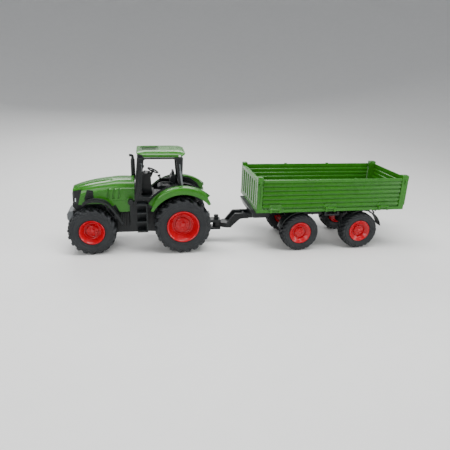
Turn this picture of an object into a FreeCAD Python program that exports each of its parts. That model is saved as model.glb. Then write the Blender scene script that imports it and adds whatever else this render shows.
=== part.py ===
"""Free-rolling toy tractor with a hitched tipping trailer.

Frame: +X forward, +Y the tractor's left, +Z up. The origin is on the ground under the middle of
the whole toy. Lengths are millimetres. The right side mirrors the left side in the plane y = 0.
"""
import FreeCAD, Part
import Sketcher
import os

Vec = FreeCAD.Vector
Turn = FreeCAD.Rotation
doc = FreeCAD.newDocument("toy_tractor")

# ------------------------------------------------------------------ driving dimensions

DRIVING = [
    ("fit_gap", 0.1, "radial clearance of a shaft or pin that turns"),
    ("joint_gap", 0.3, "gap between pieces on two sides of a joint"),
    ("axle_rad", 1.5, "steel axle radius"),
    ("rear_axle_x", 71.0, "tractor rear axle, forward of the origin"),
    ("rear_tyre_rad", 34.0, "tractor rear tyre radius and axle height"),
    ("rear_tyre_wid", 23.0, "tractor rear tyre width"),
    ("rear_face_y", 36.5, "outer face of the rear tyre"),
    ("rear_rim_rad", 19.4, "rear rim lip radius"),
    ("rear_hub_deep", 8.8, "rear hub face behind the tyre face"),
    ("front_axle_x", 177.2, "tractor front axle, forward of the origin"),
    ("front_tyre_rad", 28.2, "tractor front tyre radius and axle height"),
    ("front_tyre_wid", 18.0, "tractor front tyre width"),
    ("front_face_y", 30.5, "outer face of the front tyre"),
    ("front_rim_rad", 14.8, "front rim lip radius"),
    ("front_hub_deep", 7.0, "front hub face behind the tyre face"),
    ("trailer_axle_x", -73.7, "trailer front axle"),
    ("trailer_axle_step", 79.0, "trailer wheelbase"),
    ("trailer_tyre_rad", 23.5, "trailer tyre radius and axle height"),
    ("trailer_tyre_wid", 18.0, "trailer tyre width"),
    ("trailer_face_y", 43.0, "outer face of the trailer tyre"),
    ("trailer_rim_rad", 13.6, "trailer rim lip radius"),
    ("trailer_hub_deep", 3.0, "trailer hub face behind the tyre face"),
    ("spine_half", 11.0, "half width of the tractor's spine"),
    ("spine_low", 21.0, "underside of the spine"),
    ("spine_top", 50.0, "top of the spine"),
    ("nose_x", 199.0, "front end of the spine and the grille"),
    ("hood_rear_x", 127.0, "rear edge of the hood, against the cab"),
    ("hood_top", 87.4, "highest point of the hood"),
    ("hood_half", 20.0, "widest half width of the hood"),
    ("cab_floor_z", 68.0, "top of the cab floor"),
    ("cab_half", 26.4, "half width of the cab frame"),
    ("cab_wall", 2.4, "thickness of the cab side frames"),
    ("roof_low", 115.3, "underside of the roof"),
    ("roof_top", 122.0, "top of the roof"),
    ("roof_half", 24.6, "half width of the roof"),
    ("arch_rad", 41.3, "outer radius of the black wheel arches"),
    ("fender_in", 40.0, "inner radius of the green fenders"),
    ("fender_out", 48.8, "outer radius of the green fenders"),
    ("window_arc", 49.4, "radius of the window's lower edge about the rear axle"),
    ("step_face_y", 33.0, "outer face of the steps"),
    ("hitch_x", 26.0, "hitch pin"),
    ("pin_rad", 1.7, "hitch pin radius"),
    ("frame_top", 52.1, "top of the trailer frame"),
    ("frame_half", 30.0, "half width of the trailer frame"),
    ("tip_x", -198.0, "tipping hinge, along the trailer"),
    ("tip_z", 49.0, "tipping hinge, height"),
    ("tip_lug_rad", 3.0, "radius of the tipping hinge lugs"),
    ("bed_front", -15.0, "front face of the bed"),
    ("bed_rear", -205.5, "rear face of the bed"),
    ("bed_half", 45.5, "half width of the bed"),
    ("bed_low", 52.4, "underside of the bed"),
    ("floor_top", 54.2, "top of the bed floor"),
    ("rail_top", 56.2, "top of the bed's floor rail"),
    ("wall_top", 92.2, "top of the bed walls"),
    ("post_top", 95.5, "top of the corner posts"),
    ("post_wid", 6.8, "width of a corner post"),
    ("wall_thick", 2.5, "thickness of the bed walls"),
    ("hinge_rad", 1.6, "radius of the wall hinge knuckles"),
    ("hinge_pin_rad", 0.7, "radius of the wall hinge pins"),
]

sheet = doc.addObject("Spreadsheet::Sheet", "dims")
for row, (alias, value, note) in enumerate(DRIVING, start=1):
    sheet.set("A%d" % row, note)
    sheet.set("B%d" % row, str(value))
    sheet.setAlias("B%d" % row, alias)
doc.recompute()


class Size:
    """A length that keeps the sheet expression it comes from, so that objects are bound to it."""

    def __init__(self, value, text):
        self.value = value
        self.text = text

    def __add__(self, other):
        return Size(self.value + number(other), "(%s + %s)" % (self.text, written(other)))

    def __radd__(self, other):
        return self + other

    def __sub__(self, other):
        return Size(self.value - number(other), "(%s - %s)" % (self.text, written(other)))

    def __rsub__(self, other):
        return Size(number(other) - self.value, "(%s - %s)" % (written(other), self.text))

    def __mul__(self, other):
        return Size(self.value * number(other), "(%s * %s)" % (self.text, written(other)))

    def __rmul__(self, other):
        return self * other

    def __neg__(self):
        return self * -1


def number(size):
    return size.value if isinstance(size, Size) else float(size)


def written(size):
    return size.text if isinstance(size, Size) else "(%.6f)" % size


class Sheet:
    """Reads a cell of the sheet by its alias."""

    def __getattr__(self, alias):
        return Size(float(sheet.get(alias)), "dims." + alias)


d = Sheet()

# ------------------------------------------------------------------ building blocks

nodes = []


def bind(thing, path, size):
    """Set a property, and bind it to the sheet where the size comes from there."""
    if path.startswith("."):
        if isinstance(size, Size):
            thing.setExpression(path, size.text)
        return
    setattr(thing, path, number(size))
    if isinstance(size, Size):
        thing.setExpression(path, size.text)


def place(thing, x, y, z, turn=None):
    thing.Placement = FreeCAD.Placement(Vec(number(x), number(y), number(z)), turn or Turn())
    for path, size in ((".Placement.Base.x", x), (".Placement.Base.y", y), (".Placement.Base.z", z)):
        bind(thing, path, size)
    return thing


def box(x0, x1, y0, y1, z0, z1):
    """A block between two corners."""
    block = doc.addObject("Part::Box", "block")
    bind(block, "Length", x1 - x0)
    bind(block, "Width", y1 - y0)
    bind(block, "Height", z1 - z0)
    return place(block, x0, y0, z0)


AXIS_TURN = {
    "x": Turn(Vec(0, 1, 0), 90),
    "y": Turn(Vec(1, 0, 0), -90),
    "z": Turn(),
}


def rod(axis, x, y, z, radius, length):
    """A round bar that starts at a point and runs along an axis."""
    bar = doc.addObject("Part::Cylinder", "bar")
    bind(bar, "Radius", radius)
    bind(bar, "Height", length)
    return place(bar, x, y, z, AXIS_TURN[axis])


def plane_of(body, role):
    return [item for item in body.Origin.OriginFeatures if item.Role == role][0]


def outline(body, role, points):
    """A closed sketch of straight edges on one of the body's own planes."""
    sketch = body.newObject("Sketcher::SketchObject", "outline")
    sketch.AttachmentSupport = [(plane_of(body, role), "")]
    sketch.MapMode = "FlatFace"
    corners = [Vec(number(u), number(v), 0) for u, v in points]
    count = len(corners)
    for index in range(count):
        sketch.addGeometry(Part.LineSegment(corners[index], corners[(index + 1) % count]))
    for index in range(count):
        sketch.addConstraint(Sketcher.Constraint("Coincident", index, 2, (index + 1) % count, 1))
    bound = []
    for index, point in enumerate(points):
        for kind, size in zip(("DistanceX", "DistanceY"), point):
            made = sketch.addConstraint(Sketcher.Constraint(kind, -1, 1, index, 1, number(size)))
            if isinstance(size, Size):
                bound.append((made, size.text))
    for made, text in bound:
        sketch.setExpression("Constraints[%d]" % made, text)
    return sketch


def prism(plane, points, start, end):
    """A plate with the given outline: across X for a yz outline, Y for xz and Z for xy."""
    body = doc.addObject("PartDesign::Body", "plate")
    sketch = outline(body, plane.upper() + "_Plane", points)
    pad = body.newObject("PartDesign::Pad", "pad")
    pad.Profile = sketch
    bind(pad, "Length", end - start)
    sketch.Visibility = False
    if plane == "yz":
        return place(body, start, 0, 0)
    if plane == "xz":
        return place(body, 0, end, 0)
    return place(body, 0, 0, start)


def turned(section, x, z):
    """A body turned about the Y direction: the section's points are (radius, y)."""
    body = doc.addObject("PartDesign::Body", "turned")
    sketch = outline(body, "XY_Plane", section)
    spin = body.newObject("PartDesign::Revolution", "spin")
    spin.Profile = sketch
    spin.ReferenceAxis = (sketch, ["V_Axis"])
    spin.Angle = 360
    sketch.Visibility = False
    return place(body, x, 0, z)


def soften(body, radius, wanted):
    """Round the edges of a body that the test wanted() picks."""
    doc.recompute()
    base = body.Tip
    picked = [
        "Edge%d" % (index + 1)
        for index, edge in enumerate(base.Shape.Edges)
        if wanted(edge)
    ]
    fillet = body.newObject("PartDesign::Fillet", "fillet")
    fillet.Base = (base, picked)
    fillet.Radius = radius
    return body


def runs_along(edge, axis):
    """True for a straight edge parallel to a unit axis."""
    start = edge.Vertexes[0].Point
    end = edge.Vertexes[-1].Point
    length = (end - start).Length
    return length > 0.01 and abs((end - start).dot(axis)) > 0.999 * length


Y_AXIS = Vec(0, 1, 0)


def fuse(*pieces):
    joined = doc.addObject("Part::MultiFuse", "joined")
    joined.Shapes = list(pieces)
    joined.Refine = True
    return joined


def cut(base, *tools):
    tool = tools[0] if len(tools) == 1 else fuse(*tools)
    made = doc.addObject("Part::Cut", "cut")
    made.Base = base
    made.Tool = tool
    made.Refine = True
    return made


def common(*pieces):
    made = doc.addObject("Part::MultiCommon", "shared")
    made.Shapes = list(pieces)
    made.Refine = True
    return made


def group(*pieces):
    """Separate solids in one node."""
    made = doc.addObject("Part::Compound", "group")
    made.Links = list(pieces)
    return made


def mirrored(source):
    made = doc.addObject("Part::Mirroring", "mirror")
    made.Source = source
    made.Base = Vec(0, 0, 0)
    made.Normal = Vec(0, 1, 0)
    return made


def keep(thing, label):
    """Name a finished sub-part."""
    thing.Label = label
    nodes.append(thing)
    return thing


def keep_pair(thing, label):
    """Name a left piece and add its mirror image on the right."""
    keep(thing, label + "_left")
    keep(mirrored(thing), label + "_right")


# ------------------------------------------------------------------ wheels

def wheel_set(name, axle_x, tyre_rad, tyre_wid, face_y, rim_rad, hub_deep):
    """A steel axle with a dished rim and a tyre on each end."""
    hub_y = face_y - hub_deep
    channel_y = hub_y - 2.4
    shaft_end = channel_y
    bead = rim_rad - 0.9
    inner = face_y - tyre_wid
    rim_section = [
        (d.axle_rad, inner + 1.0),
        (rim_rad * 0.8, inner + 1.0),
        (bead, inner + 3.4),
        (bead, face_y - 3.0),
        (rim_rad, face_y - 2.3),
        (rim_rad, face_y - 0.5),
        (rim_rad - 1.5, face_y - 0.5),
        (rim_rad * 0.84, face_y - hub_deep * 0.5),
        (rim_rad * 0.76, face_y - hub_deep * 0.6),
        (rim_rad * 0.7, channel_y),
        (rim_rad * 0.54, channel_y),
        (rim_rad * 0.5, hub_y - 0.8),
        (rim_rad * 0.3, hub_y - 0.3),
        (0, hub_y),
        (0, shaft_end),
        (d.axle_rad, shaft_end),
    ]
    tyre_section = [
        (bead, inner + 3.4),
        (bead, face_y - 3.0),
        (rim_rad, face_y - 2.3),
        (rim_rad, face_y - 0.5),
        (rim_rad + (tyre_rad - rim_rad) * 0.35, face_y),
        (tyre_rad * 0.93, face_y - 0.9),
        (tyre_rad, face_y - 3.0),
        (tyre_rad, inner + 3.0),
        (tyre_rad * 0.93, inner + 0.9),
        (rim_rad + (tyre_rad - rim_rad) * 0.35, inner),
        (rim_rad, inner + 0.9),
    ]
    keep(rod("y", axle_x, -shaft_end, tyre_rad, d.axle_rad, shaft_end * 2), name + "_shaft")
    keep_pair(turned(rim_section, axle_x, tyre_rad), name + "_rim")
    keep_pair(turned(tyre_section, axle_x, tyre_rad), name + "_tyre")


trailer_rear_x = d.trailer_axle_x - d.trailer_axle_step
wheel_set(
    "rear", d.rear_axle_x, d.rear_tyre_rad, d.rear_tyre_wid, d.rear_face_y, d.rear_rim_rad, d.rear_hub_deep,
)
wheel_set(
    "front", d.front_axle_x, d.front_tyre_rad, d.front_tyre_wid, d.front_face_y, d.front_rim_rad,
    d.front_hub_deep,
)
for trailer_name, trailer_x in (("trailer_front", d.trailer_axle_x), ("trailer_rear", trailer_rear_x)):
    wheel_set(
        trailer_name, trailer_x, d.trailer_tyre_rad, d.trailer_tyre_wid, d.trailer_face_y, d.trailer_rim_rad,
        d.trailer_hub_deep,
    )


def axle_bore(axle_x, axle_z, half):
    """The running hole for an axle."""
    return rod("y", axle_x, -half, axle_z, d.axle_rad + d.fit_gap, half * 2)


# ------------------------------------------------------------------ tractor spine and underside

cover_thick = 2.5
cover_half_x = 9.0
screw_offset = 6.0
screw_head = 1.4
screw_reach = 6.0
axle_places = (d.rear_axle_x, d.front_axle_x)


def screw(x, y, low, reach):
    """A pan-head screw that stands head down: a flat head and a shank."""
    head = rod("z", x, y, low, 2.0, screw_head)
    shank = rod("z", x, y, low + screw_head, 1.1, reach)
    return fuse(head, shank)


cover_low = d.spine_low - cover_thick
screw_places = [axle_x + side for axle_x in axle_places for side in (-screw_offset, screw_offset)]

spine = fuse(
    box(d.hitch_x + 20, d.nose_x, -d.spine_half, d.spine_half, d.spine_low, d.spine_top),
    box(d.rear_axle_x - 16, d.rear_axle_x + 22, -12.6, 12.6, d.spine_low + 2, d.spine_top),
)
keep(
    cut(
        spine,
        axle_bore(d.rear_axle_x, d.rear_tyre_rad, 20),
        axle_bore(d.front_axle_x, d.front_tyre_rad, 20),
        *[screw(x, 0, cover_low, screw_reach) for x in screw_places],
    ),
    "chassis_frame",
)


def axle_cover(axle_x):
    """The plate under the spine that holds an axle in."""
    plate = box(axle_x - cover_half_x, axle_x + cover_half_x, -9, 9, cover_low, d.spine_low)
    holes = [screw(axle_x + side, 0, cover_low, screw_reach) for side in (-screw_offset, screw_offset)]
    return cut(plate, *holes)


keep(group(*[axle_cover(axle_x) for axle_x in axle_places]), "axle_covers")
keep(group(*[screw(x, 0, cover_low, screw_reach) for x in screw_places]), "chassis_screws")

# The front weight: a block over a flat coupling lip with an upright bore through it.
weight = fuse(
    prism("xz", [
        (d.nose_x, 37), (d.nose_x + 5, 37), (d.nose_x + 7.2, 40), (d.nose_x + 7.2, 46.5),
        (d.nose_x + 4.6, 50), (d.nose_x, 50),
    ], -13, 13),
    box(d.nose_x, d.nose_x + 8.6, -4.5, 4.5, 26, 32),
    box(d.nose_x, d.nose_x + 2, -4.5, 4.5, 32, 37),
)
keep(cut(weight, rod("z", d.nose_x + 5.4, 0, 25, 1.6, 8)), "front_weight")

# ------------------------------------------------------------------ hood and grille

nose_top = d.hood_top - 9.8
grille_top_x = d.nose_x - 12.5
grille_low_x = d.nose_x - 7.2
hood_low = 59.0
stack_x = 128.4
stack_y = -15.2
stack_rad = 2.6
stack_foot = 80.0


def hood_section(top, half):
    """The hood's cross-section as (y, z): a crowned top, round shoulders and upright sides."""
    side = [
        (half * 0.45, top - 0.6), (half * 0.74, top - 2.0), (half * 0.9, top - 4.6), (half * 0.97, top - 9.5),
        (half, top - 17), (half, d.spine_top - 1),
    ]
    return [(0, top)] + side + [(-y, z) for y, z in reversed(side)]


def loft(stations):
    """A solid through cross-sections that each stand at their own x."""
    body = doc.addObject("PartDesign::Body", "loft")
    sketches = []
    for x, section in stations:
        sketch = outline(body, "YZ_Plane", section)
        sketch.AttachmentOffset = FreeCAD.Placement(Vec(0, 0, number(x)), Turn())
        bind(sketch, ".AttachmentOffset.Base.z", x)
        sketch.Visibility = False
        sketches.append(sketch)
    skin = body.newObject("PartDesign::AdditiveLoft", "skin")
    skin.Profile = sketches[0]
    skin.Sections = sketches[1:]
    skin.Ruled = True
    return body


hood_block = loft([
    (d.hood_rear_x, hood_section(d.hood_top - 0.2, d.hood_half - 0.6)),
    (145, hood_section(d.hood_top, d.hood_half)),
    (164, hood_section(d.hood_top - 1.9, d.hood_half)),
    (178, hood_section(d.hood_top - 4.5, d.hood_half - 0.6)),
    (190, hood_section(d.hood_top - 7.4, d.hood_half - 2.6)),
    (d.nose_x, hood_section(nose_top, d.hood_half - 7)),
])
hood_side = prism("xz", [
    (d.hood_rear_x, 95), (d.nose_x - 1.5, 95), (d.nose_x - 1.5, nose_top - 3.5),
    (grille_top_x, nose_top - 0.5), (grille_low_x, hood_low), (153, hood_low), (145, d.spine_top),
    (d.hood_rear_x, d.spine_top),
], -d.hood_half - 1, d.hood_half + 1)
stack_socket = rod("z", stack_x, stack_y, stack_foot, stack_rad, 15)
keep(cut(common(hood_block, hood_side), stack_socket), "hood_shell")

grille_side = prism("xz", [
    (grille_top_x, nose_top - 0.5), (d.nose_x - 1.5, nose_top - 3.5), (d.nose_x, 70), (d.nose_x, hood_low),
    (grille_low_x, hood_low),
], -17, 17)
grille_plan = prism("xy", [
    (grille_top_x, -16.8), (d.nose_x - 3, -13), (d.nose_x, -8.6), (d.nose_x, 8.6), (d.nose_x - 3, 13),
    (grille_top_x, 16.8),
], d.spine_top, d.hood_top)
chin = prism("xz", [
    (d.nose_x - 36, hood_low), (d.nose_x, hood_low), (d.nose_x, 55), (d.nose_x - 4, d.spine_top),
    (d.nose_x - 36, d.spine_top),
], -d.spine_half, d.spine_half)
keep(fuse(common(grille_side, grille_plan), chin), "grille")

# The exhaust stack: a foot in the hood, a wide body, a narrow neck and a forward tip.
stack = fuse(
    rod("z", stack_x, stack_y, stack_foot, stack_rad, 106.6 - stack_foot),
    rod("z", stack_x, stack_y, 106.6, 1.8, 3.6),
    rod("x", stack_x, stack_y, 110.6, 1.8, 4.2),
)
keep(stack, "exhaust_stack")

# ------------------------------------------------------------------ front mudguards

mud_in_y = d.hood_half
mud_out_y = d.front_face_y


def on_crown(edge):
    """True for an edge across the guard's upper part."""
    corner = edge.Vertexes[0].Point
    return runs_along(edge, Y_AXIS) and corner.z > 56 and corner.x < 182


guard = soften(
    prism("xz", [
        (185.4, 60.4), (182.4, 62.8), (176, 65.0), (170, 65.4), (163.4, 64.0), (157.4, 60.0), (147.4, 45.6),
        (141.8, 35.6), (144.6, 36.6), (150, 45.4), (159.2, 58.0), (164.6, 61.4), (170.2, 62.6), (175.6, 62.2),
        (180.8, 60.2), (183.8, 58.0),
    ], mud_in_y, mud_out_y),
    0.8,
    on_crown,
)
mud_bracket = box(145.2, 151.5, d.spine_half, mud_in_y + 3, 42.5, 47.5)
keep_pair(fuse(guard, mud_bracket), "front_mudguard")

# ------------------------------------------------------------------ cab

half_in = d.cab_half - d.cab_wall
step_top = 64.0
ladder_rear = 112.3
tub_half = 12.6
cab_nose = [
    (104, d.cab_floor_z), (105.4, step_top), (d.hood_rear_x, step_top), (d.hood_rear_x, d.cab_floor_z),
]
arch_ring = cut(
    rod("y", d.rear_axle_x, -half_in, d.rear_tyre_rad, d.arch_rad, half_in * 2),
    rod("y", d.rear_axle_x, -half_in - 1, d.rear_tyre_rad, d.arch_rad - 2.5, half_in * 2 + 2),
)
arch_span = prism("xz", [
    (d.rear_axle_x - 30, 50), (109, 50), (112, 60), (100, 90), (d.rear_axle_x - 30, 90),
], -half_in, half_in)
floor_tub = box(d.rear_axle_x - 14, d.hood_rear_x, -tub_half, tub_half, d.spine_top, d.cab_floor_z)
arches = cut(common(arch_ring, arch_span), box(40, 112, -tub_half, tub_half, 49, 91))
keep(fuse(arches, floor_tub, prism("xz", cab_nose, -half_in, half_in)), "cab_floor")

side_outline = [
    (d.hood_rear_x, step_top), (d.hood_rear_x, 73), (122.6, d.roof_low), (70.4, d.roof_low),
    (71.4, 81.5), (58, 79.5), (48, 72), (44, 64), (100, 56), (ladder_rear - 0.2, 56),
    (ladder_rear - 0.2, step_top),
]
window_outline = [
    (119.2, 70.2), (114.8, 113.8), (78.2, 113.8), (75.4, 80), (98, 62), (106, 67.8),
]


def cab_side():
    """One side of the cab frame, on the left: pillars, rail and the panel over the wheel."""
    panel = prism("xz", side_outline, half_in, d.cab_half)
    opening = cut(
        prism("xz", window_outline, half_in - 1, d.cab_half + 1),
        rod("y", d.rear_axle_x, half_in - 2, d.rear_tyre_rad, d.window_arc, 8),
    )
    well = rod("y", d.rear_axle_x, half_in - 2, d.rear_tyre_rad, d.arch_rad - 2.5, 8)
    return cut(panel, fuse(opening, well))


front_header = prism("xz", [
    (116.6, d.roof_low), (117, 112.4), (122.6, 112.4), (122.2, d.roof_low),
], -half_in, half_in)
rear_header = box(70.6, 75.6, -half_in, half_in, 112.4, d.roof_low)
screen_base = box(120.5, d.hood_rear_x, -half_in, half_in, d.cab_floor_z, 72.5)
rear_sill = box(71.6, 75, -half_in, half_in, 75.6, 81.5)
left_side = cab_side()
keep(
    fuse(left_side, mirrored(left_side), front_header, rear_header, screen_base, rear_sill),
    "cab_frame",
)

roof_flat = d.roof_half - 6
roof_shoulder = 119.0
roof_side = prism("xz", [
    (122.8, 119.6), (116.2, 119.6), (115.6, d.roof_low), (73.2, d.roof_low), (68.6, 118.4),
    (67.4, 120.4), (70.6, d.roof_top - 0.8), (80, d.roof_top), (112, d.roof_top), (120.4, d.roof_top - 0.4),
    (123.2, 120.8),
], -d.roof_half, d.roof_half)
roof_front = prism("yz", [
    (-d.roof_half, 110), (d.roof_half, 110), (d.roof_half, roof_shoulder), (roof_flat, d.roof_top),
    (-roof_flat, d.roof_top), (-d.roof_half, roof_shoulder),
], 60, 130)
roof_visor = box(116.2, 122.2, -half_in + 1, half_in - 1, d.roof_low, 119.6)
hatch_recess = box(98, 119, -12, 12, d.roof_top - 1.4, d.roof_top + 1)
keep(cut(common(roof_side, roof_front), hatch_recess), "cab_roof")
keep(roof_visor, "roof_visor")
keep(box(98, 119, -12, 12, d.roof_top - 1.4, d.roof_top - 0.5), "roof_hatch")

# Mirrors on short arms at the tops of the front pillars.
mirror_arm = box(117.8, 120.4, d.cab_half, d.cab_half + 4.4, 108.4, 110.4)
mirror_head = box(117.2, 119.4, d.cab_half + 3.4, d.cab_half + 7.6, 100.4, 110.8)
keep_pair(fuse(mirror_arm, mirror_head), "mirror")

# Inside the cab: console, steering wheel on its column, and seat.
console = prism("xz", [
    (106.4, d.cab_floor_z), (118.4, d.cab_floor_z), (118.4, 90), (115, 93.6), (107.6, 92.4),
], -8.5, 8.5)
keep(console, "dash_console")

wheel_tilt = Turn(Vec(0, 1, 0), -24.4)
wheel_centre = Vec(104.6, 0, 95.2)
wheel_down = wheel_tilt.multVec(Vec(0, 0, -1))


def tilted(thing, along):
    """Put a piece on the steering column's line, at a distance down from the wheel."""
    spot = wheel_centre + wheel_down * along
    thing.Placement = FreeCAD.Placement(spot, wheel_tilt)
    return thing


wheel_ring = doc.addObject("Part::Torus", "wheel_ring")
wheel_ring.Radius1 = 6.4
wheel_ring.Radius2 = 0.9
spoke_a = doc.addObject("Part::Box", "spoke")
spoke_a.Length = 12.6
spoke_a.Width = 1.6
spoke_a.Height = 1.2
spoke_b = doc.addObject("Part::Box", "spoke")
spoke_b.Length = 1.6
spoke_b.Width = 12.6
spoke_b.Height = 1.2
spokes = (
    (spoke_a, Vec(-6.3, -0.8, -0.6)),
    (spoke_b, Vec(-0.8, -6.3, -0.6)),
)
for spoke, offset in spokes:
    spot = wheel_centre + wheel_tilt.multVec(offset)
    spoke.Placement = FreeCAD.Placement(spot, wheel_tilt)
column = doc.addObject("Part::Cylinder", "column")
column.Radius = 1.5
column.Height = 9.0
steering = fuse(tilted(wheel_ring, 0), spoke_a, spoke_b, tilted(column, 9.0))
keep(cut(steering, console), "steering_wheel")

seat_base = box(83, 96, -6.5, 6.5, d.cab_floor_z, 73.6)
seat_cushion = prism("xz", [(81, 73.6), (99.4, 73.6), (99.6, 77), (96, 78.4), (83, 77.8)], -9, 9)
seat_back = prism("xz", [(78.6, 74.5), (83.6, 74), (84.4, 88), (82, 91), (78, 90.4)], -9, 9)
arm_rest = box(82, 94, 9, 11.5, 81, 83.2)
arm_post = box(82, 85, 8, 11.5, 76, 83.2)
keep(fuse(seat_base, seat_cushion, seat_back, arm_rest, arm_post), "driver_seat")

# ------------------------------------------------------------------ rear fenders

fender_ring = cut(
    rod("y", d.rear_axle_x, d.cab_half, d.rear_tyre_rad, d.fender_out, d.rear_face_y - d.cab_half),
    rod("y", d.rear_axle_x, d.cab_half - 1, d.rear_tyre_rad, d.fender_in, 20),
)
fender_span = prism("xz", [
    (d.rear_axle_x, d.rear_tyre_rad), (104.6, 54.2), (108.8, 55.4), (102.8, 67.4), (96, 76), (88, 86),
    (52, 86), (44.4, 74.6), (38, 62), (42.4, 59.6),
], d.cab_half, d.rear_face_y)
keep_pair(common(fender_ring, fender_span), "rear_fender")

# ------------------------------------------------------------------ steps and side boxes

step_in = 22.0
ladder_front = 124.6
box_front = 133.0
rungs = [
    box(ladder_rear, ladder_front, step_in, d.step_face_y, low, low + 1.8)
    for low in (28, 39.8, 50.6, 61)
]
step_parts = [
    box(ladder_front, box_front, step_in, d.step_face_y, 27.6, step_top),
    box(ladder_rear, ladder_rear + 1.6, step_in, d.step_face_y - 1.5, 28, 62.8),
    box(ladder_rear, box_front, step_in - 1.6, step_in, 28, 62.8),
    box(ladder_rear + 2, box_front - 2, d.spine_half, step_in, 32, 48),
    rod("y", box_front - 1.4, step_in, 64.2, 3.0, d.step_face_y - step_in - 2),
]
keep_pair(fuse(*step_parts, *rungs), "step")

# ------------------------------------------------------------------ hitch

jaw_low = 18.5
jaw_gap_low = 21.3
jaw_gap_top = 27.9
jaw_top = 31.4
jaw_back = d.hitch_x + 9
jaw = fuse(
    box(d.hitch_x - 5, d.hitch_x + 20, -6, 6, jaw_low, jaw_gap_low),
    box(d.hitch_x - 5, d.hitch_x + 20, -6, 6, jaw_gap_top, jaw_top),
    box(jaw_back, d.hitch_x + 20, -6, 6, jaw_low, 40),
)
jaw_hole = rod("z", d.hitch_x, 0, 10, d.pin_rad + d.fit_gap, 40)
keep(cut(jaw, jaw_hole), "hitch_clevis")

pin_shank = rod("z", d.hitch_x, 0, jaw_low - 0.5, d.pin_rad, jaw_top + d.joint_gap - jaw_low + 0.5)
pin_head = rod("z", d.hitch_x, 0, jaw_top + d.joint_gap, 3.2, 4.6)
keep(fuse(pin_shank, pin_head), "hitch_pin")

# ------------------------------------------------------------------ trailer frame

arm_profile = [
    (14, 21.7), (8.6, 21.7), (-3, 32.6), (-12, 34.2), (-15.6, 34.2), (-15.6, 40), (3.4, 40),
    (13.4, 27.4), (14, 27.4),
]
draw_arm = prism("xz", arm_profile, 5.6, 9.6)
draw_nose = prism("xy", [
    (7, -9.6), (14, -9.6), (22.5, -4.6), (d.hitch_x, -4.6), (d.hitch_x, 4.6), (22.5, 4.6), (14, 9.6),
    (7, 9.6),
], jaw_gap_low + d.joint_gap, jaw_gap_top - d.joint_gap)
eye_high = jaw_gap_top - jaw_gap_low - 2 * d.joint_gap
draw_eye = rod("z", d.hitch_x, 0, jaw_gap_low + d.joint_gap, 4.6, eye_high)
draw_cross = box(-14.6, -5, -9.6, 9.6, 29.4, 36)
draw_hole = rod("z", d.hitch_x, 0, 10, d.pin_rad + d.fit_gap, 30)
keep(
    cut(fuse(draw_arm, mirrored(draw_arm), draw_nose, draw_eye, draw_cross), draw_hole),
    "drawbar",
)

pedestal_half = 22.0
pedestal_low = 17.6
frame_rear = -191.0
frame_bottom = 48.0
bed_screw_reach = 2.4
lug_in = 13.2
lug_out = 18.0


def pedestal(axle_x):
    """The block that carries a trailer axle."""
    return prism("xz", [
        (axle_x - 5, pedestal_low), (axle_x + 5, pedestal_low), (axle_x + 11, frame_bottom),
        (axle_x - 11, frame_bottom),
    ], -pedestal_half, pedestal_half)


def tip_lug(low_y, high_y):
    """A lug of the trailer frame round the tipping pin."""
    return fuse(
        rod("y", d.tip_x, low_y, d.tip_z, d.tip_lug_rad, high_y - low_y),
        box(d.tip_x, frame_rear + 1, low_y, high_y, d.tip_z - d.tip_lug_rad, d.tip_z + d.tip_lug_rad),
    )


def frame_screws():
    """The four screws up through the trailer frame."""
    return [screw(x, y, frame_bottom, bed_screw_reach) for x in (-110, -140) for y in (-16, 16)]


frame_plate = box(frame_rear, -30, -d.frame_half, d.frame_half, frame_bottom, d.frame_top)
frame_head = prism("xz", [
    (-35, 41), (-15.6, 41), (-11, 50.8), (-11, d.frame_top), (-35, d.frame_top),
], -d.frame_half, d.frame_half)
head_tongue = box(-20, -15.6, -9.6, 9.6, 34.2, 41)
frame_spine = box(-165, -20, -8, 8, 36, frame_bottom)
left_lug = tip_lug(lug_in, lug_out)
frame_solid = fuse(
    frame_plate, frame_head, head_tongue, frame_spine, pedestal(d.trailer_axle_x), pedestal(trailer_rear_x),
    left_lug, mirrored(left_lug),
)
keep(
    cut(
        frame_solid,
        axle_bore(d.trailer_axle_x, d.trailer_tyre_rad, 30),
        axle_bore(trailer_rear_x, d.trailer_tyre_rad, 30),
        rod("y", d.tip_x, -lug_out, d.tip_z, d.axle_rad, lug_out * 2),
        *frame_screws(),
    ),
    "trailer_frame",
)
keep(group(*frame_screws()), "trailer_screws")
keep(rod("y", d.tip_x, -lug_out, d.tip_z, d.axle_rad, lug_out * 2), "tip_pin")


def trailer_guard(axle_x, lean):
    """A trailer mudguard: an arc over one quarter of the wheel, towards the lean side."""
    width = d.trailer_face_y - d.frame_half
    ring = cut(
        rod("y", axle_x, d.frame_half, d.trailer_tyre_rad, d.trailer_tyre_rad + 4.8, width),
        rod("y", axle_x, d.frame_half - 1, d.trailer_tyre_rad, d.trailer_tyre_rad + 3.4, 20),
    )
    span = prism("xz", [
        (axle_x, d.trailer_tyre_rad), (axle_x + lean * 40, d.trailer_tyre_rad + 7),
        (axle_x + lean * 40, d.trailer_tyre_rad + 40), (axle_x - lean * 14, d.trailer_tyre_rad + 40),
    ], d.frame_half, d.trailer_face_y)
    return common(ring, span)


keep_pair(trailer_guard(d.trailer_axle_x, 1), "trailer_front_guard")
keep_pair(trailer_guard(trailer_rear_x, -1), "trailer_rear_guard")

side_marker = fuse(
    box(-123, -104, d.frame_half + 7.5, d.frame_half + 9.5, 44.5, 46.7),
    box(-106.4, -104, d.frame_half, d.frame_half + 9.5, 44.5, 49.4),
    box(-123, -120.6, d.frame_half, d.frame_half + 9.5, 44.5, 49.4),
)
keep(group(side_marker, mirrored(side_marker)), "side_brackets")

# ------------------------------------------------------------------ tipping bed

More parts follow.
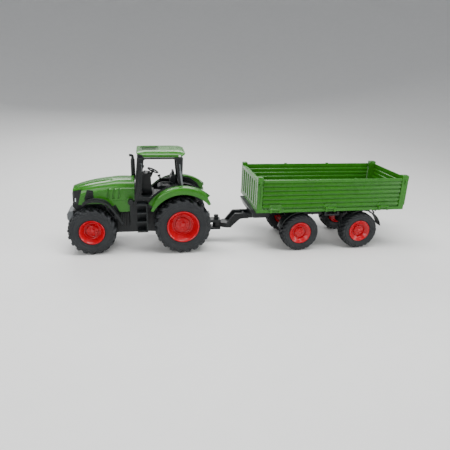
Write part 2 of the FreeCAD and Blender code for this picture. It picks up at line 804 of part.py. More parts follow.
bed_lug_in = 9.0
bed_lug_out = 12.9
wall_in = d.bed_half - d.wall_thick
post_front_x = d.bed_front - d.post_wid
post_rear_x = d.bed_rear + d.post_wid
hinge_y = d.bed_half + 0.5
hinge_z = d.rail_top + 0.1
hinge_centres = (-38, -108, -178)
knuckle_half = 4.0
lug_thick = 2.6
lug_gap = d.joint_gap
lug_reach = knuckle_half + lug_gap + lug_thick
tail_x = d.bed_rear - 0.5
tail_centres = (-24, 24)


def side_hinge_lugs(centre):
    """Two lugs on the bed's left rail that carry one wall hinge pin."""
    lugs = []
    for start in (centre - lug_reach, centre + knuckle_half + lug_gap):
        eye = rod("x", start, hinge_y, hinge_z, d.hinge_rad, lug_thick)
        root = box(start, start + lug_thick, wall_in, hinge_y + d.hinge_rad * 0.7, d.bed_low, hinge_z)
        lugs += [eye, root]
    return lugs


def tail_hinge_lugs(centre):
    """Two lugs on the bed's rear rail that carry one tailgate hinge pin."""
    lugs = []
    for start in (centre - lug_reach, centre + knuckle_half + lug_gap):
        eye = rod("y", tail_x, start, hinge_z, d.hinge_rad, lug_thick)
        root = box(tail_x - d.hinge_rad * 0.7, d.bed_rear + 2, start, start + lug_thick, d.bed_low, hinge_z)
        lugs += [eye, root]
    return lugs


def side_knuckle_room(centre, grow):
    """The space that a wall knuckle turns in."""
    return box(
        centre - knuckle_half - grow, centre + knuckle_half + grow,
        hinge_y - d.hinge_rad - grow, hinge_y + 4, hinge_z - d.hinge_rad - grow, hinge_z + d.hinge_rad + grow,
    )


def tail_knuckle_room(centre, grow):
    return box(
        tail_x - 4, tail_x + d.hinge_rad + grow, centre - knuckle_half - grow, centre + knuckle_half + grow,
        hinge_z - d.hinge_rad - grow, hinge_z + d.hinge_rad + grow,
    )


def side_pin(centre, radius):
    return rod("x", centre - lug_reach, hinge_y, hinge_z, radius, lug_reach * 2)


def tail_pin(centre, radius):
    return rod("y", tail_x, centre - lug_reach, hinge_z, radius, lug_reach * 2)


post_in = d.bed_half - 7.2
end_thick = 4.0
gate_thick = 2.0
front_corner = box(post_front_x, d.bed_front, post_in, d.bed_half, d.bed_low, d.rail_top)
hollow = cut(
    box(d.bed_rear + gate_thick, d.bed_front - end_thick, -wall_in, wall_in, d.floor_top, d.rail_top + 1),
    front_corner,
    mirrored(front_corner),
)
bed_tray = cut(
    box(d.bed_rear, d.bed_front, -d.bed_half, d.bed_half, d.bed_low, d.rail_top),
    hollow,
    *[side_knuckle_room(centre, lug_gap) for centre in hinge_centres],
    *[mirrored(side_knuckle_room(centre, lug_gap)) for centre in hinge_centres],
    *[tail_knuckle_room(centre, lug_gap) for centre in tail_centres],
)
rear_post = box(d.bed_rear, post_rear_x, post_in, d.bed_half, d.bed_low, d.post_top)
side_lugs = fuse(*[piece for centre in hinge_centres for piece in side_hinge_lugs(centre)])
tail_lugs = fuse(*[piece for centre in tail_centres for piece in tail_hinge_lugs(centre)])
bed_lug = fuse(
    rod("y", d.tip_x, bed_lug_in, d.tip_z, d.tip_lug_rad, bed_lug_out - bed_lug_in),
    box(
        d.tip_x - d.tip_lug_rad, d.tip_x + d.tip_lug_rad, bed_lug_in, bed_lug_out, d.tip_z, d.bed_low,
    ),
)
bed_solid = fuse(
    bed_tray, rear_post, mirrored(rear_post), side_lugs, mirrored(side_lugs), tail_lugs, bed_lug,
    mirrored(bed_lug),
)
keep(
    cut(
        bed_solid,
        rod("y", d.tip_x, -20, d.tip_z, d.axle_rad + d.fit_gap, 40),
        *[side_pin(centre, d.hinge_pin_rad) for centre in hinge_centres],
        *[mirrored(side_pin(centre, d.hinge_pin_rad)) for centre in hinge_centres],
        *[tail_pin(centre, d.hinge_pin_rad) for centre in tail_centres],
    ),
    "bed_floor",
)

panel_side = post_in + 0.1
front_post = box(post_front_x, d.bed_front, post_in, d.bed_half, d.rail_top, d.post_top)
front_panel = box(d.bed_front - 3.4, d.bed_front - 1.2, -panel_side, panel_side, d.rail_top, d.wall_top)
front_ribs = [
    box(d.bed_front - 1.3, d.bed_front, y - 2, y + 2, d.rail_top, d.wall_top - 4)
    for y in range(-33, 34, 11)
]
front_rail = box(d.bed_front - end_thick, d.bed_front, -panel_side, panel_side, d.wall_top - 4, d.wall_top)
keep(fuse(front_post, mirrored(front_post), front_panel, front_rail, *front_ribs), "bed_front_wall")

pins = [side_pin(centre, d.hinge_pin_rad) for centre in hinge_centres]
tail_pins = [tail_pin(centre, d.hinge_pin_rad) for centre in tail_centres]
keep(group(*pins, *[mirrored(pin) for pin in pins], *tail_pins), "hinge_pins")

# ------------------------------------------------------------------ drop sides and tailgate

rib_count = 6
rib_low = d.rail_top + 3.0
rib_pitch = 5.3
rib_high = 2.6
bore_rad = d.hinge_pin_rad + d.fit_gap
wall_low = d.rail_top + d.joint_gap
knuckle_top = hinge_z + d.hinge_rad + 1
wall_rear_x = post_rear_x + d.joint_gap
wall_front_x = post_front_x - d.joint_gap
panel_half = 1.3

side_panel = box(wall_rear_x, wall_front_x, wall_in + 0.4, wall_in + 0.4 + panel_half, wall_low, d.wall_top)
side_ribs = [
    box(wall_rear_x, wall_front_x, wall_in + 0.4, d.bed_half, low, low + rib_high)
    for low in [rib_low + step * rib_pitch for step in range(rib_count)]
]
side_top = box(wall_rear_x, wall_front_x, wall_in, d.bed_half, d.wall_top - 3.4, d.wall_top)
side_nubs = [
    box(x - 1.6, x + 1.6, wall_in, d.bed_half, d.wall_top, d.wall_top + 1)
    for x in (-76, -136)
]
side_knuckles = [
    fuse(
        rod("x", centre - knuckle_half, hinge_y, hinge_z, d.hinge_rad, knuckle_half * 2),
        box(centre - knuckle_half, centre + knuckle_half, wall_in + 0.6, hinge_y, wall_low, knuckle_top),
    )
    for centre in hinge_centres
]
lug_notches = []
for centre in hinge_centres:
    for start in (centre - lug_reach, centre + knuckle_half):
        lug_notches.append(
            box(start - lug_gap, start + lug_thick + 2 * lug_gap, wall_in - 1, d.bed_half + 4,
                wall_low - 1, hinge_z + d.hinge_rad + lug_gap)
        )
left_wall = cut(
    fuse(side_panel, side_top, *side_ribs, *side_nubs),
    *lug_notches,
)
left_wall = cut(
    fuse(left_wall, *side_knuckles),
    *[side_pin(centre, bore_rad) for centre in hinge_centres],
)
keep_pair(left_wall, "side_wall")

tail_half = post_in - d.joint_gap
tail_panel = box(d.bed_rear + 0.7, d.bed_rear + gate_thick, -tail_half, tail_half, wall_low, d.wall_top)
tail_rails = [
    box(d.bed_rear, d.bed_rear + gate_thick, -tail_half, tail_half, low, high)
    for low, high in ((60.2, 63.6), (72.2, 75.6), (89.1, 92.5))
]
tail_knuckles = [
    fuse(
        rod("y", tail_x, centre - knuckle_half, hinge_z, d.hinge_rad, knuckle_half * 2),
        box(
            tail_x, d.bed_rear + gate_thick, centre - knuckle_half, centre + knuckle_half,
            wall_low, knuckle_top,
        ),
    )
    for centre in tail_centres
]
tail_notches = []
for centre in tail_centres:
    for start in (centre - lug_reach, centre + knuckle_half):
        tail_notches.append(
            box(d.bed_rear - 4, d.bed_rear + 4, start - lug_gap, start + lug_thick + 2 * lug_gap,
                wall_low - 1, hinge_z + d.hinge_rad + lug_gap)
        )
tail_solid = cut(fuse(tail_panel, *tail_rails), *tail_notches)
keep(
    cut(fuse(tail_solid, *tail_knuckles), *[tail_pin(centre, bore_rad) for centre in tail_centres]),
    "tailgate",
)

# ------------------------------------------------------------------ check and write

doc.recompute()
for thing in doc.Objects:
    if "Invalid" in thing.State or "Error" in thing.State:
        raise RuntimeError("%s (%s) failed" % (thing.Name, thing.Label))
for thing in nodes:
    if thing.Shape.isNull() or not thing.Shape.isValid():
        raise RuntimeError("%s has a bad shape" % thing.Label)

os.makedirs("parts", exist_ok=True)
for thing in nodes:
    thing.Shape.exportStep("parts/%s.step" % thing.Label)
    print(thing.Label, len(thing.Shape.Solids), round(thing.Shape.Volume))
print(len(nodes), "sub-parts")
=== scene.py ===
"""Looks of the toy tractor and its tipping trailer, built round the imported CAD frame.

Forms are worked out in millimetres in the toy's own frame: +X forward, +Y the tractor's left and
+Z up, with the origin on the ground. They become metres when a piece is made.
"""
import math
import bmesh
import bpy
from mathutils import Matrix, Vector


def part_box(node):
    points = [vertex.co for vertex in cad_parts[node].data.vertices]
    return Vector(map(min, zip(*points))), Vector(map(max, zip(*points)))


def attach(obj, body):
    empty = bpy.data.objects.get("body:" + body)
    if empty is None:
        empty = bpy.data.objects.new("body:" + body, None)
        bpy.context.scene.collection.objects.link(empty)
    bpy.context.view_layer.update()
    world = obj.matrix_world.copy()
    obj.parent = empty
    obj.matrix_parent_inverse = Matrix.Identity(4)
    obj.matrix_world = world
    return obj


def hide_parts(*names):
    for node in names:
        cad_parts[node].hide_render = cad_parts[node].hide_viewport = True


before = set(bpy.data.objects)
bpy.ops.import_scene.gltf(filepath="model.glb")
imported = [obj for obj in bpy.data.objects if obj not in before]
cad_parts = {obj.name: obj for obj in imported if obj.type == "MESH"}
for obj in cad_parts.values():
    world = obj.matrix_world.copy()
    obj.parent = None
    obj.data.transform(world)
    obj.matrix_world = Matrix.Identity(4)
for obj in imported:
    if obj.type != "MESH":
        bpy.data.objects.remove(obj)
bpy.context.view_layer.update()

MM = 0.001
X = Vector((1, 0, 0))
Y = Vector((0, 1, 0))
Z = Vector((0, 0, 1))
MIRROR = Matrix.Scale(-1, 4, Y)


def span(node):
    """The lowest and highest corner of a CAD node, in millimetres."""
    low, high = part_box(node)
    return low / MM, high / MM


# ------------------------------------------------------------------ materials

class Tree:
    """A material's node tree, with short calls to add nodes to it."""

    def __init__(self, name):
        self.material = bpy.data.materials.new(name)
        self.material.use_nodes = True
        self.tree = self.material.node_tree
        self.tree.nodes.clear()

    def add(self, kind, inputs=None, **settings):
        node = self.tree.nodes.new(kind)
        for key, value in settings.items():
            setattr(node, key, value)
        for key, value in (inputs or {}).items():
            if isinstance(value, bpy.types.NodeSocket):
                self.tree.links.new(value, node.inputs[key])
            else:
                node.inputs[key].default_value = value
        return node

    def noise(self, where, scale, detail=2.0):
        return self.add("ShaderNodeTexNoise", {"Vector": where, "Scale": scale, "Detail": detail}).outputs[0]

    def ramp(self, value, low, high, to_low=0.0, to_high=1.0):
        """A value taken from one range to another, and held at its ends."""
        inputs = {0: value, 1: low, 2: high, 3: to_low, 4: to_high}
        return self.add("ShaderNodeMapRange", inputs).outputs[0]

    def times(self, value, other):
        return self.add("ShaderNodeMath", {0: value, 1: other}, operation="MULTIPLY").outputs[0]

    def mix(self, share, colour_a, colour_b):
        node = self.add("ShaderNodeMix", {0: share, 6: colour_a, 7: colour_b}, data_type="RGBA")
        return node.outputs[2]

    def bump(self, height, depth, strength, normal=None):
        inputs = {"Height": height, "Distance": depth, "Strength": strength}
        if normal is not None:
            inputs["Normal"] = normal
        return self.add("ShaderNodeBump", inputs).outputs[0]


def linear(red, green, blue):
    """A colour given as screen values from 0 to 255, as linear light."""
    def one(value):
        share = value / 255
        return share / 12.92 if share <= 0.04045 else ((share + 0.055) / 1.055) ** 2.4
    return (one(red), one(green), one(blue), 1.0)


def shaded(colour, factor):
    return tuple(min(1.0, part * factor) for part in colour[:3]) + (1.0,)


SHEEN = 0.3


def finish(name, colour, rough, uneven=0.05, tone=0.12, grain=1800.0, relief=0.03, rub=0.25, rub_tint=1.7,
           metallic=0.0, coat=0.0, stretch=(1.0, 1.0, 1.0)):
    """A moulded or metal surface: uneven tone and gloss, a fine skin, hairline scuffs and rubbed edges."""
    tree = Tree(name)
    where = tree.add("ShaderNodeTexCoord").outputs["Object"]
    along = tree.add("ShaderNodeMapping", {"Vector": where, "Scale": stretch}).outputs[0]
    broad = tree.noise(where, 45.0, 3.0)
    speckle = tree.noise(where, 900.0, 3.0)
    tinted = tree.mix(tree.ramp(broad, 0.3, 0.7), shaded(colour, 1 - tone), shaded(colour, 1 + tone))
    corner = tree.ramp(tree.add("ShaderNodeNewGeometry").outputs["Pointiness"], 0.53, 0.62, 0.0, rub)
    rubbed = tree.times(corner, tree.ramp(speckle, 0.35, 0.65))
    painted = tree.mix(rubbed, tinted, shaded(colour, rub_tint))
    scuffed_at = tree.add("ShaderNodeMapping", {"Vector": where, "Scale": (1.0, 1.0, 9.0),
                                                "Rotation": (0.3, 0.5, 0.2)}).outputs[0]
    scuffs = tree.ramp(tree.noise(scuffed_at, 160.0, 8.0), 0.58, 0.72)
    cloudy = tree.ramp(tree.noise(where, 130.0, 4.0), 0.3, 0.7, rough - uneven, rough + uneven)
    roughness = tree.add("ShaderNodeMath", {0: cloudy, 1: tree.times(scuffs, uneven * 1.6)},
                         operation="ADD", use_clamp=True).outputs[0]
    skin_bump = tree.bump(tree.noise(along, grain, 3.0), 0.2 * MM, relief)
    wavy = tree.bump(tree.noise(where, 70.0, 1.0), 0.6 * MM, relief * 1.2, skin_bump)
    shader = tree.add("ShaderNodeBsdfPrincipled", {
        "Base Color": painted, "Roughness": roughness, "Normal": wavy, "Metallic": metallic,
        "Coat Weight": coat, "Coat Roughness": 0.08, "Specular IOR Level": SHEEN,
    })
    tree.add("ShaderNodeOutputMaterial", {"Surface": shader.outputs[0]})
    return tree.material


FINISHES = {
    "green_plastic": finish("green_plastic", linear(40, 102, 18), 0.28, 0.05, 0.10, relief=0.03, coat=0.12),
    "dark_green_plastic": finish("dark_green_plastic", linear(18, 56, 10), 0.32, 0.05, 0.12, relief=0.04),
    "black_plastic": finish("black_plastic", linear(17, 20, 21), 0.36, 0.08, 0.2, relief=0.10, rub=0.5,
                            rub_tint=3.2),
    "grey_plastic": finish("grey_plastic", linear(98, 102, 104), 0.38, 0.07, 0.10, relief=0.08),
    "red_plastic": finish("red_plastic", linear(172, 0, 20), 0.25, 0.05, 0.08, relief=0.03, coat=0.15),
    "tyre_rubber": finish("tyre_rubber", linear(34, 36, 38), 0.6, 0.10, 0.18, 1300.0, 0.35, 0.7, 2.0),
    "axle_steel": finish("axle_steel", linear(165, 168, 172), 0.28, 0.08, 0.06, 2600.0, 0.12, 0.2, 1.2, 1.0,
                         stretch=(1.0, 0.06, 1.0)),
    "screw_zinc": finish("screw_zinc", linear(188, 184, 170), 0.34, 0.1, 0.12, 1500.0, 0.15, 0.2, 1.2, 1.0),
    "lamp_lens": finish("lamp_lens", linear(206, 212, 214), 0.16, 0.04, 0.05, 700.0, 0.5, 0.1, 1.1, coat=0.5),
}
for node_name, node_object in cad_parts.items():
    for material_slot in node_object.material_slots:
        material_slot.material = FINISHES[material_slot.material.name.split(".")[0]] if (
            material_slot.material and material_slot.material.name.split(".")[0] in FINISHES
        ) else FINISHES["black_plastic"]

# ------------------------------------------------------------------ forms


class Shell:
    """The points and faces of closed forms, in millimetres."""

    def __init__(self, points=(), faces=()):
        self.points = [Vector(point) for point in points]
        self.faces = [list(face) for face in faces]

    def add(self, *others):
        for other in others:
            base = len(self.points)
            self.points += other.points
            self.faces += [[base + index for index in face] for face in other.faces]
        return self

    def moved(self, matrix):
        return Shell([matrix @ point for point in self.points], self.faces)


def joined(*shells):
    return Shell().add(*shells)


def both_sides(shell):
    return joined(shell, shell.moved(MIRROR))


def skin(rings, loop=False):
    """A form through rings of equally many points. Open ends are capped."""
    count = len(rings[0])
    faces = []
    for step in range(len(rings) if loop else len(rings) - 1):
        here = step * count
        there = (step + 1) % len(rings) * count
        for index in range(count):
            after = (index + 1) % count
            faces.append([here + index, here + after, there + after, there + index])
    if not loop:
        faces.append(list(range(count)))
        faces.append([(len(rings) - 1) * count + index for index in range(count)])
    return Shell([point for ring in rings for point in ring], faces)


def rounded(corners, radius, steps=4):
    """A closed outline with its corners rounded."""
    made = []
    for index, corner in enumerate(corners):
        here = Vector(corner)
        before = Vector(corners[index - 1])
        after = Vector(corners[(index + 1) % len(corners)])
        start = here + (before - here).normalized() * min(radius, (before - here).length * 0.45)
        end = here + (after - here).normalized() * min(radius, (after - here).length * 0.45)
        for step in range(steps + 1):
            share = step / steps
            made.append(start.lerp(here, share).lerp(here.lerp(end, share), share))
    return made


def through(points, steps):
    """A smooth line through points, which it passes with the slope of their neighbours."""
    spots = [Vector(point) for point in points]
    made = []
    for index in range(len(spots) - 1):
        start, end = spots[index], spots[index + 1]
        leave = (end - spots[max(index - 1, 0)]) / 2
        arrive = (spots[min(index + 2, len(spots) - 1)] - start) / 2
        for step in range(steps):
            t = step / steps
            made.append(start * (2 * t**3 - 3 * t**2 + 1) + leave * (t**3 - 2 * t**2 + t)
                        + end * (3 * t**2 - 2 * t**3) + arrive * (t**3 - t**2))
    return made + [spots[-1]]


def disc(radius, steps=12):
    return [(radius * math.cos(2 * math.pi * step / steps), radius * math.sin(2 * math.pi * step / steps))
            for step in range(steps)]


def oblong(width, height, corner, steps=3):
    """A rectangle round the origin with rounded corners."""
    across, up = width / 2, height / 2
    return rounded([(-across, -up), (across, -up), (across, up), (-across, up)], corner, steps)


PLANES = {
    "xz": lambda u, v, w: (u, w, v),
    "xy": lambda u, v, w: (u, v, w),
    "yz": lambda u, v, w: (w, u, v),
}


def prism(plane, outline, start, end):
    """A plate with the given outline, from start to end along the third axis."""
    return skin([[PLANES[plane](u, v, w) for u, v in outline] for w in (start, end)])


def slab(x0, x1, y0, y1, z0, z1, corner=0.0):
    outline = [(x0, y0), (x1, y0), (x1, y1), (x0, y1)]
    return prism("xy", rounded(outline, corner, 3) if corner else outline, z0, z1)


def lathe(profile, steps, centre=(0, 0, 0)):
    """A form turned about the Y direction through the centre. The profile is a closed line of (radius, y)."""
    rings = []
    for step in range(steps):
        angle = 2 * math.pi * step / steps
        rings.append([Vector(centre) + Vector((radius * math.cos(angle), y, radius * math.sin(angle)))
                      for radius, y in profile])
    return skin(rings, loop=True)


def sweep(path, section, side, loop=False):
    """A bar along a path. The section gives points as (across, out), and out is square to the side."""
    rings = []
    last = len(path) - 1
    for index, spot in enumerate(path):
        before = path[index - 1] if loop or index else spot
        after = path[(index + 1) % len(path)] if loop or index < last else spot
        along = (after - before).normalized()
        out = along.cross(side).normalized()
        across = out.cross(along)
        points = section(index / last) if callable(section) else section
        rings.append([spot + across * u + out * v for u, v in points])
    return skin(rings, loop)


def arc(x, z, radius, start, end, steps, y=0.0):
    """Points on an arc in the XZ plane, with angles in degrees from +X towards +Z."""
    made = []
    for step in range(steps + 1):
        angle = math.radians(start + (end - start) * step / steps)
        made.append(Vector((x + radius * math.cos(angle), y, z + radius * math.sin(angle))))
    return made


def rod(start, end, radius, steps=16, end_radius=None):
    """A round bar between two points, with softened ends."""
    start, end = Vector(start), Vector(end)
    side = X if abs((end - start).normalized().x) < 0.8 else Y
    last = radius if end_radius is None else end_radius
    soft = min(0.25, (end - start).length * 0.2, radius * 0.3)
    step_in = (end - start).normalized() * soft
    stops = [(start, radius - soft), (start + step_in, radius), (end - step_in, last), (end, last - soft)]
    rings = []
    along = (end - start).normalized()
    out = along.cross(side).normalized()
    across = out.cross(along)
    for spot, size in stops:
        rings.append([spot + across * u + out * v for u, v in disc(size, steps)])
    return skin(rings)


def mesh_of(shell, name, scale):
    """A clean mesh: joined points, outward faces and no loose edges."""
    form = bmesh.new()
    corners = [form.verts.new(point * scale) for point in shell.points]
    for face in shell.faces:
        form.faces.new([corners[index] for index in face])
    bmesh.ops.remove_doubles(form, verts=form.verts, dist=0.003 * scale)
    loose = [edge for edge in form.edges if not edge.link_faces]
    bmesh.ops.delete(form, geom=loose, context="EDGES")
    bmesh.ops.recalc_face_normals(form, faces=form.faces)
    mesh = bpy.data.meshes.new(name)
    form.to_mesh(mesh)
    form.free()
    return mesh


def boolean(base, tool, operation="DIFFERENCE"):
    """The base with the tool cut away from it, joined to it, or in common with it."""
    things = []
    for label, shell in (("base", base), ("tool", tool)):
        things.append(bpy.data.objects.new(label, mesh_of(shell, label, 1.0)))
        bpy.context.scene.collection.objects.link(things[-1])
    modifier = things[0].modifiers.new("boolean", "BOOLEAN")
    modifier.object = things[1]
    modifier.operation = operation
    modifier.solver = "EXACT"
    evaluated = things[0].evaluated_get(bpy.context.evaluated_depsgraph_get())
    mesh = bpy.data.meshes.new_from_object(evaluated)
    made = Shell([vertex.co for vertex in mesh.vertices], [list(face.vertices) for face in mesh.polygons])
    for thing in things:
        bpy.data.objects.remove(thing)
    bpy.data.meshes.remove(mesh)
    return made


def piece(name, shell, body, slot, nodes=(), bevel=0.0, segments=2, sharp=38.0, subdivide=0, material=None):
    """Make one piece, in place on its body, with its finish and the CAD nodes that it stands for."""
    mesh = mesh_of(shell, name, MM)
    mesh.shade_smooth()
    if not subdivide:
        mesh.set_sharp_from_angle(angle=math.radians(sharp))
    thing = bpy.data.objects.new(name, mesh)
    bpy.context.scene.collection.objects.link(thing)
    if bevel:
        round_off(thing, bevel, segments, sharp)
    if subdivide:
        divide = thing.modifiers.new("subdivide", "SUBSURF")
        divide.levels = subdivide
        divide.render_levels = subdivide
    mesh.materials.append(FINISHES[material or slot])
    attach(thing, body)
    if nodes:
        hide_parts(*nodes)
    return thing


def round_off(thing, width, segments=2, sharp=38.0):
    """Round the edges of a piece or a CAD node with a modifier."""
    soften = thing.modifiers.new("round_off", "BEVEL")
    soften.width = width * MM
    soften.segments = segments
    soften.limit_method = "ANGLE"
    soften.angle_limit = math.radians(sharp)
    soften.harden_normals = True


def pair(label, shell, body, slot, node=None, bodies=None, **options):
    """The left piece and its mirror image on the right."""
    for side, matrix in (("left", Matrix.Identity(4)), ("right", MIRROR)):
        nodes = ("%s_%s" % (node, side),) if node else ()
        rides_on = bodies[side] if bodies else body
        piece("%s_%s" % (label, side), shell.moved(matrix), rides_on, slot, nodes, **options)


# ------------------------------------------------------------------ wheels

# Lugs on each side of the tread, lug width, height and sweep back, how deep the hub face stands in
# the rim, and the bolts: how many, their share of the radius and their size.
WHEELS = {
    "rear": {"body": "rear_axle", "hub": 8.8, "lugs": 20, "wide": 4.6, "high": 2.3, "swept": 8.5,
             "bolts": ((10, 0.32, 0.75),)},
    "front": {"body": "front_axle", "hub": 7.0, "lugs": 19, "wide": 3.9, "high": 1.9, "swept": 6.5,
              "bolts": ((8, 0.31, 0.6),)},
    "trailer_front": {"body": "trailer_front_axle", "hub": 3.0, "lugs": 24, "wide": 3.7, "high": 1.7, "swept": 9.0,
                      "bolts": ((6, 0.33, 0.95),)},
    "trailer_rear": {"body": "trailer_rear_axle", "hub": 3.0, "lugs": 24, "wide": 3.7, "high": 1.7, "swept": 9.0,
                     "bolts": ((6, 0.33, 0.95),)},
}
TURN_STEPS = 96

# Along a lug: share of the half width from the tread's middle, and the outer and inner share of the tyre's radius.
LUG_STATIONS = (
    (-0.08, 1.0, 0.92), (0.25, 1.0, 0.92), (0.55, 0.998, 0.915), (0.78, 0.988, 0.9), (0.92, 0.962, 0.885),
    (0.975, 0.925, 0.86), (0.985, 0.88, 0.84), (0.955, 0.845, 0.83),
)


def lug(size, start, centre, radius, middle, half):
    """One bar of the tread, from just past the middle out over the left shoulder."""
    rings = []
    for step, (share, top, foot) in enumerate(LUG_STATIONS):
        run = step / (len(LUG_STATIONS) - 1)
        angle = start + size["swept"] * run**0.85 / radius
        wide = size["wide"] * (0.40 + 0.13 * run)
        outer, inner = radius * top, radius * foot
        section = [(-wide - 0.4, inner), (-wide, outer - 0.45), (-wide + 0.4, outer), (wide - 0.4, outer),
                   (wide, outer - 0.45), (wide + 0.4, inner)]
        ring = []
        for along, reach in section:
            turn = angle + along / radius
            sunk = 0.0 if reach > inner else 0.9 * run
            ring.append(centre + Vector((
                reach * math.cos(turn), middle + half * share - sunk, reach * math.sin(turn))))
        rings.append(ring)
    return skin(rings)


def tyre(size, low, high, rim_radius):
    """A lugged tyre on the left: a carcass with bulging sidewalls, moulding rings and two rows of lugs."""
    radius = (high.z - low.z) / 2
    centre = Vector(((low.x + high.x) / 2, 0, (low.z + high.z) / 2))
    inner, outer = low.y, high.y
    width = outer - inner
    tread = radius - size["high"]
    wall = rim_radius + (radius - rim_radius) * 0.45
    half_section = [(rim_radius - 0.9, 3.2), (rim_radius + 0.4, 1.1), (wall, 0.0), (radius * 0.87, 0.5),
                    (radius * 0.92, 1.7), (tread, width * 0.26)]
    carcass = [(r, inner + back) for r, back in half_section]
    carcass += [(r, outer - back) for r, back in reversed(half_section)]
    shell = lathe(rounded(carcass, 1.6, 4), TURN_STEPS, centre)
    for ring_radius, back in ((rim_radius + 1.9, 0.75), (radius * 0.80, 0.25)):
        bead = [(ring_radius + u, outer - back + v) for u, v in disc(0.42, 8)]
        shell.add(lathe(bead, TURN_STEPS, centre))
    middle, half = (inner + outer) / 2, width / 2
    pitch = 2 * math.pi / size["lugs"]
    left_row = [lug(size, pitch * step, centre, radius, middle, half) for step in range(size["lugs"])]
    shift = Matrix.Translation((0, 2 * middle, 0)) @ MIRROR
    right_row = [lug(size, pitch * (step + 0.5), centre, radius, middle, half).moved(shift)
                 for step in range(size["lugs"])]
    return shell.add(*left_row, *right_row)


def bolt(centre, reach, angle, y, radius):
    """A hexagon bolt head with a domed top, facing outward."""
    spot = centre + Vector((reach * math.cos(angle), 0, reach * math.sin(angle)))
    rings = []
    for size, lift in ((radius, -0.8), (radius, 0.45), (radius * 0.8, 0.75), (radius * 0.35, 0.9)):
        rings.append([spot + Vector((u, y + lift, v)) for u, v in disc(size, 6)])
    return skin(rings)


def rim(size, low, high):
    """A dished rim on the left: a rolled lip, stepped cone, channel, hub disc with bolts, and cap."""
    radius = (high.z - low.z) / 2
    centre = Vector(((low.x + high.x) / 2, 0, (low.z + high.z) / 2))
    width = (high.y - low.y) * 1.08
    face = high.y
    hub = size["hub"]
    profile = [
        (0.0, hub - 1.3), (0.13, hub - 1.3), (0.17, hub - 0.9), (0.19, hub - 0.2), (0.21, hub), (0.41, hub),
        (0.44, hub + 0.3), (0.455, hub + 1.6), (0.475, hub + 2.1), (0.56, hub + 2.1), (0.59, hub + 1.6),
        (0.61, hub + 0.5), (0.665, hub + 0.2), (0.69, hub * 0.84), (0.71, hub * 0.76), (0.75, hub * 0.68),
        (0.765, hub * 0.54), (0.805, hub * 0.47), (0.82, hub * 0.34), (0.86, hub * 0.27), (0.885, hub * 0.13),
        (0.915, 0.4), (0.95, 0.0), (0.985, 0.25), (1.0, 0.9), (1.0, 1.9), (0.96, 2.5),
    ]
    line = [(radius * share, face - back) for share, back in profile]
    line += [(radius * 0.95, low.y + 2.4), (radius * 0.90, low.y + 0.6), (radius * 0.82, low.y + 0.6),
             (radius * 0.74, low.y + width * 0.3), (radius * 0.3, low.y + width * 0.33),
             (radius * 0.24, low.y + 0.4), (0.0, low.y + 0.4)]
    shell = lathe(line, TURN_STEPS, centre)
    for count, share, bolt_radius in size["bolts"]:
        for step in range(count):
            shell.add(bolt(centre, radius * share, 2 * math.pi * (step + 0.25) / count, face - hub, bolt_radius))
    return shell


for wheel_name, wheel_size in WHEELS.items():
    tyre_low, tyre_high = span(wheel_name + "_tyre_left")
    rim_low, rim_high = span(wheel_name + "_rim_left")
    made_tyre = tyre(wheel_size, tyre_low, tyre_high, (rim_high.z - rim_low.z) / 2)
    made_rim = rim(wheel_size, rim_low, rim_high)
    pair(wheel_name + "_lugged_tyre", made_tyre, wheel_size["body"], "tyre_rubber", wheel_name + "_tyre")
    pair(wheel_name + "_dished_rim", made_rim, wheel_size["body"], "red_plastic", wheel_name + "_rim",
         sharp=50.0)

# ------------------------------------------------------------------ hood, grille and stack

hood_low, hood_high = span("hood_shell")
grille_low, grille_high = span("grille")
floor_low, floor_high = span("cab_floor")
rear_low, rear_high = span("rear_tyre_left")
front_low, front_high = span("front_tyre_left")
rear_x, rear_z = (rear_low.x + rear_high.x) / 2, (rear_low.z + rear_high.z) / 2
front_x, front_z = (front_low.x + front_high.x) / 2, (front_low.z + front_high.z) / 2
hood_rear = hood_low.x
hood_half = hood_high.y
hood_top = hood_high.z
hood_foot = hood_low.z
nose = grille_high.x

# Forward of the hood's rear edge, drop of the top, and share of the half width.
HOOD_STATIONS = ((0, 0.2, 0.97), (18, 0.0, 1.0), (37, 1.7, 1.0), (51, 4.2, 0.975), (63, 7.4, 0.885), (72, 10.4, 0.72))
RIDGE_START = 22.0
RIDGE_HIGH = 0.9


def hood_ring(station):
    """The hood's section: a raised centre ridge, a crowned top, a shoulder crease and upright sides."""
    forward, drop, share = station
    top = hood_top - drop
    half = hood_half * share
    rise = RIDGE_HIGH * min(1.0, max(0.0, (forward - RIDGE_START) / 10))
    edge = min(7.4, half * 0.42) - forward * 0.02
    side = [
        (edge * 0.5, top - 0.08), (edge, top - 0.3), (edge + 0.5, top - 0.3 - rise), (half * 0.58, top - 1.0 - rise * 0.8),
        (half * 0.70, top - 1.9 - rise * 0.5), (half * 0.80, top - 3.2 - rise * 0.3), (half * 0.875, top - 4.9),
        (half * 0.925, top - 6.8), (half * 0.945, top - 8.4), (half * 0.985, top - 9.2), (half, top - 12),
        (half, top - 20), (half, hood_foot - 2),
    ]
    outline = [(0, top)] + side + [(-y, z) for y, z in reversed(side)]
    return [(hood_rear + forward, y, z) for y, z in outline]


hood_block = skin([hood_ring(station) for station in through(HOOD_STATIONS, 6)])
lip_x = nose - 1.5
brow_x = nose - 12.5
brow_z = hood_top - 10.3
cheek_x = nose - 7.2
cheek_z = grille_low.z + 9.0
hood_outline = [
    (hood_rear, hood_top + 8), (lip_x, hood_top + 8), (lip_x, brow_z - 3.0), (brow_x, brow_z), (cheek_x, cheek_z),
    (front_x + 2, front_z + 32), (front_x - 12, front_z + 32.4), (front_x - 20, front_z + 27), (front_x - 28, cheek_z), (hood_rear + 18, hood_foot), (hood_rear, hood_foot),
]
hood = boolean(hood_block, prism("xz", hood_outline, -hood_half - 5, hood_half + 5), "INTERSECT")

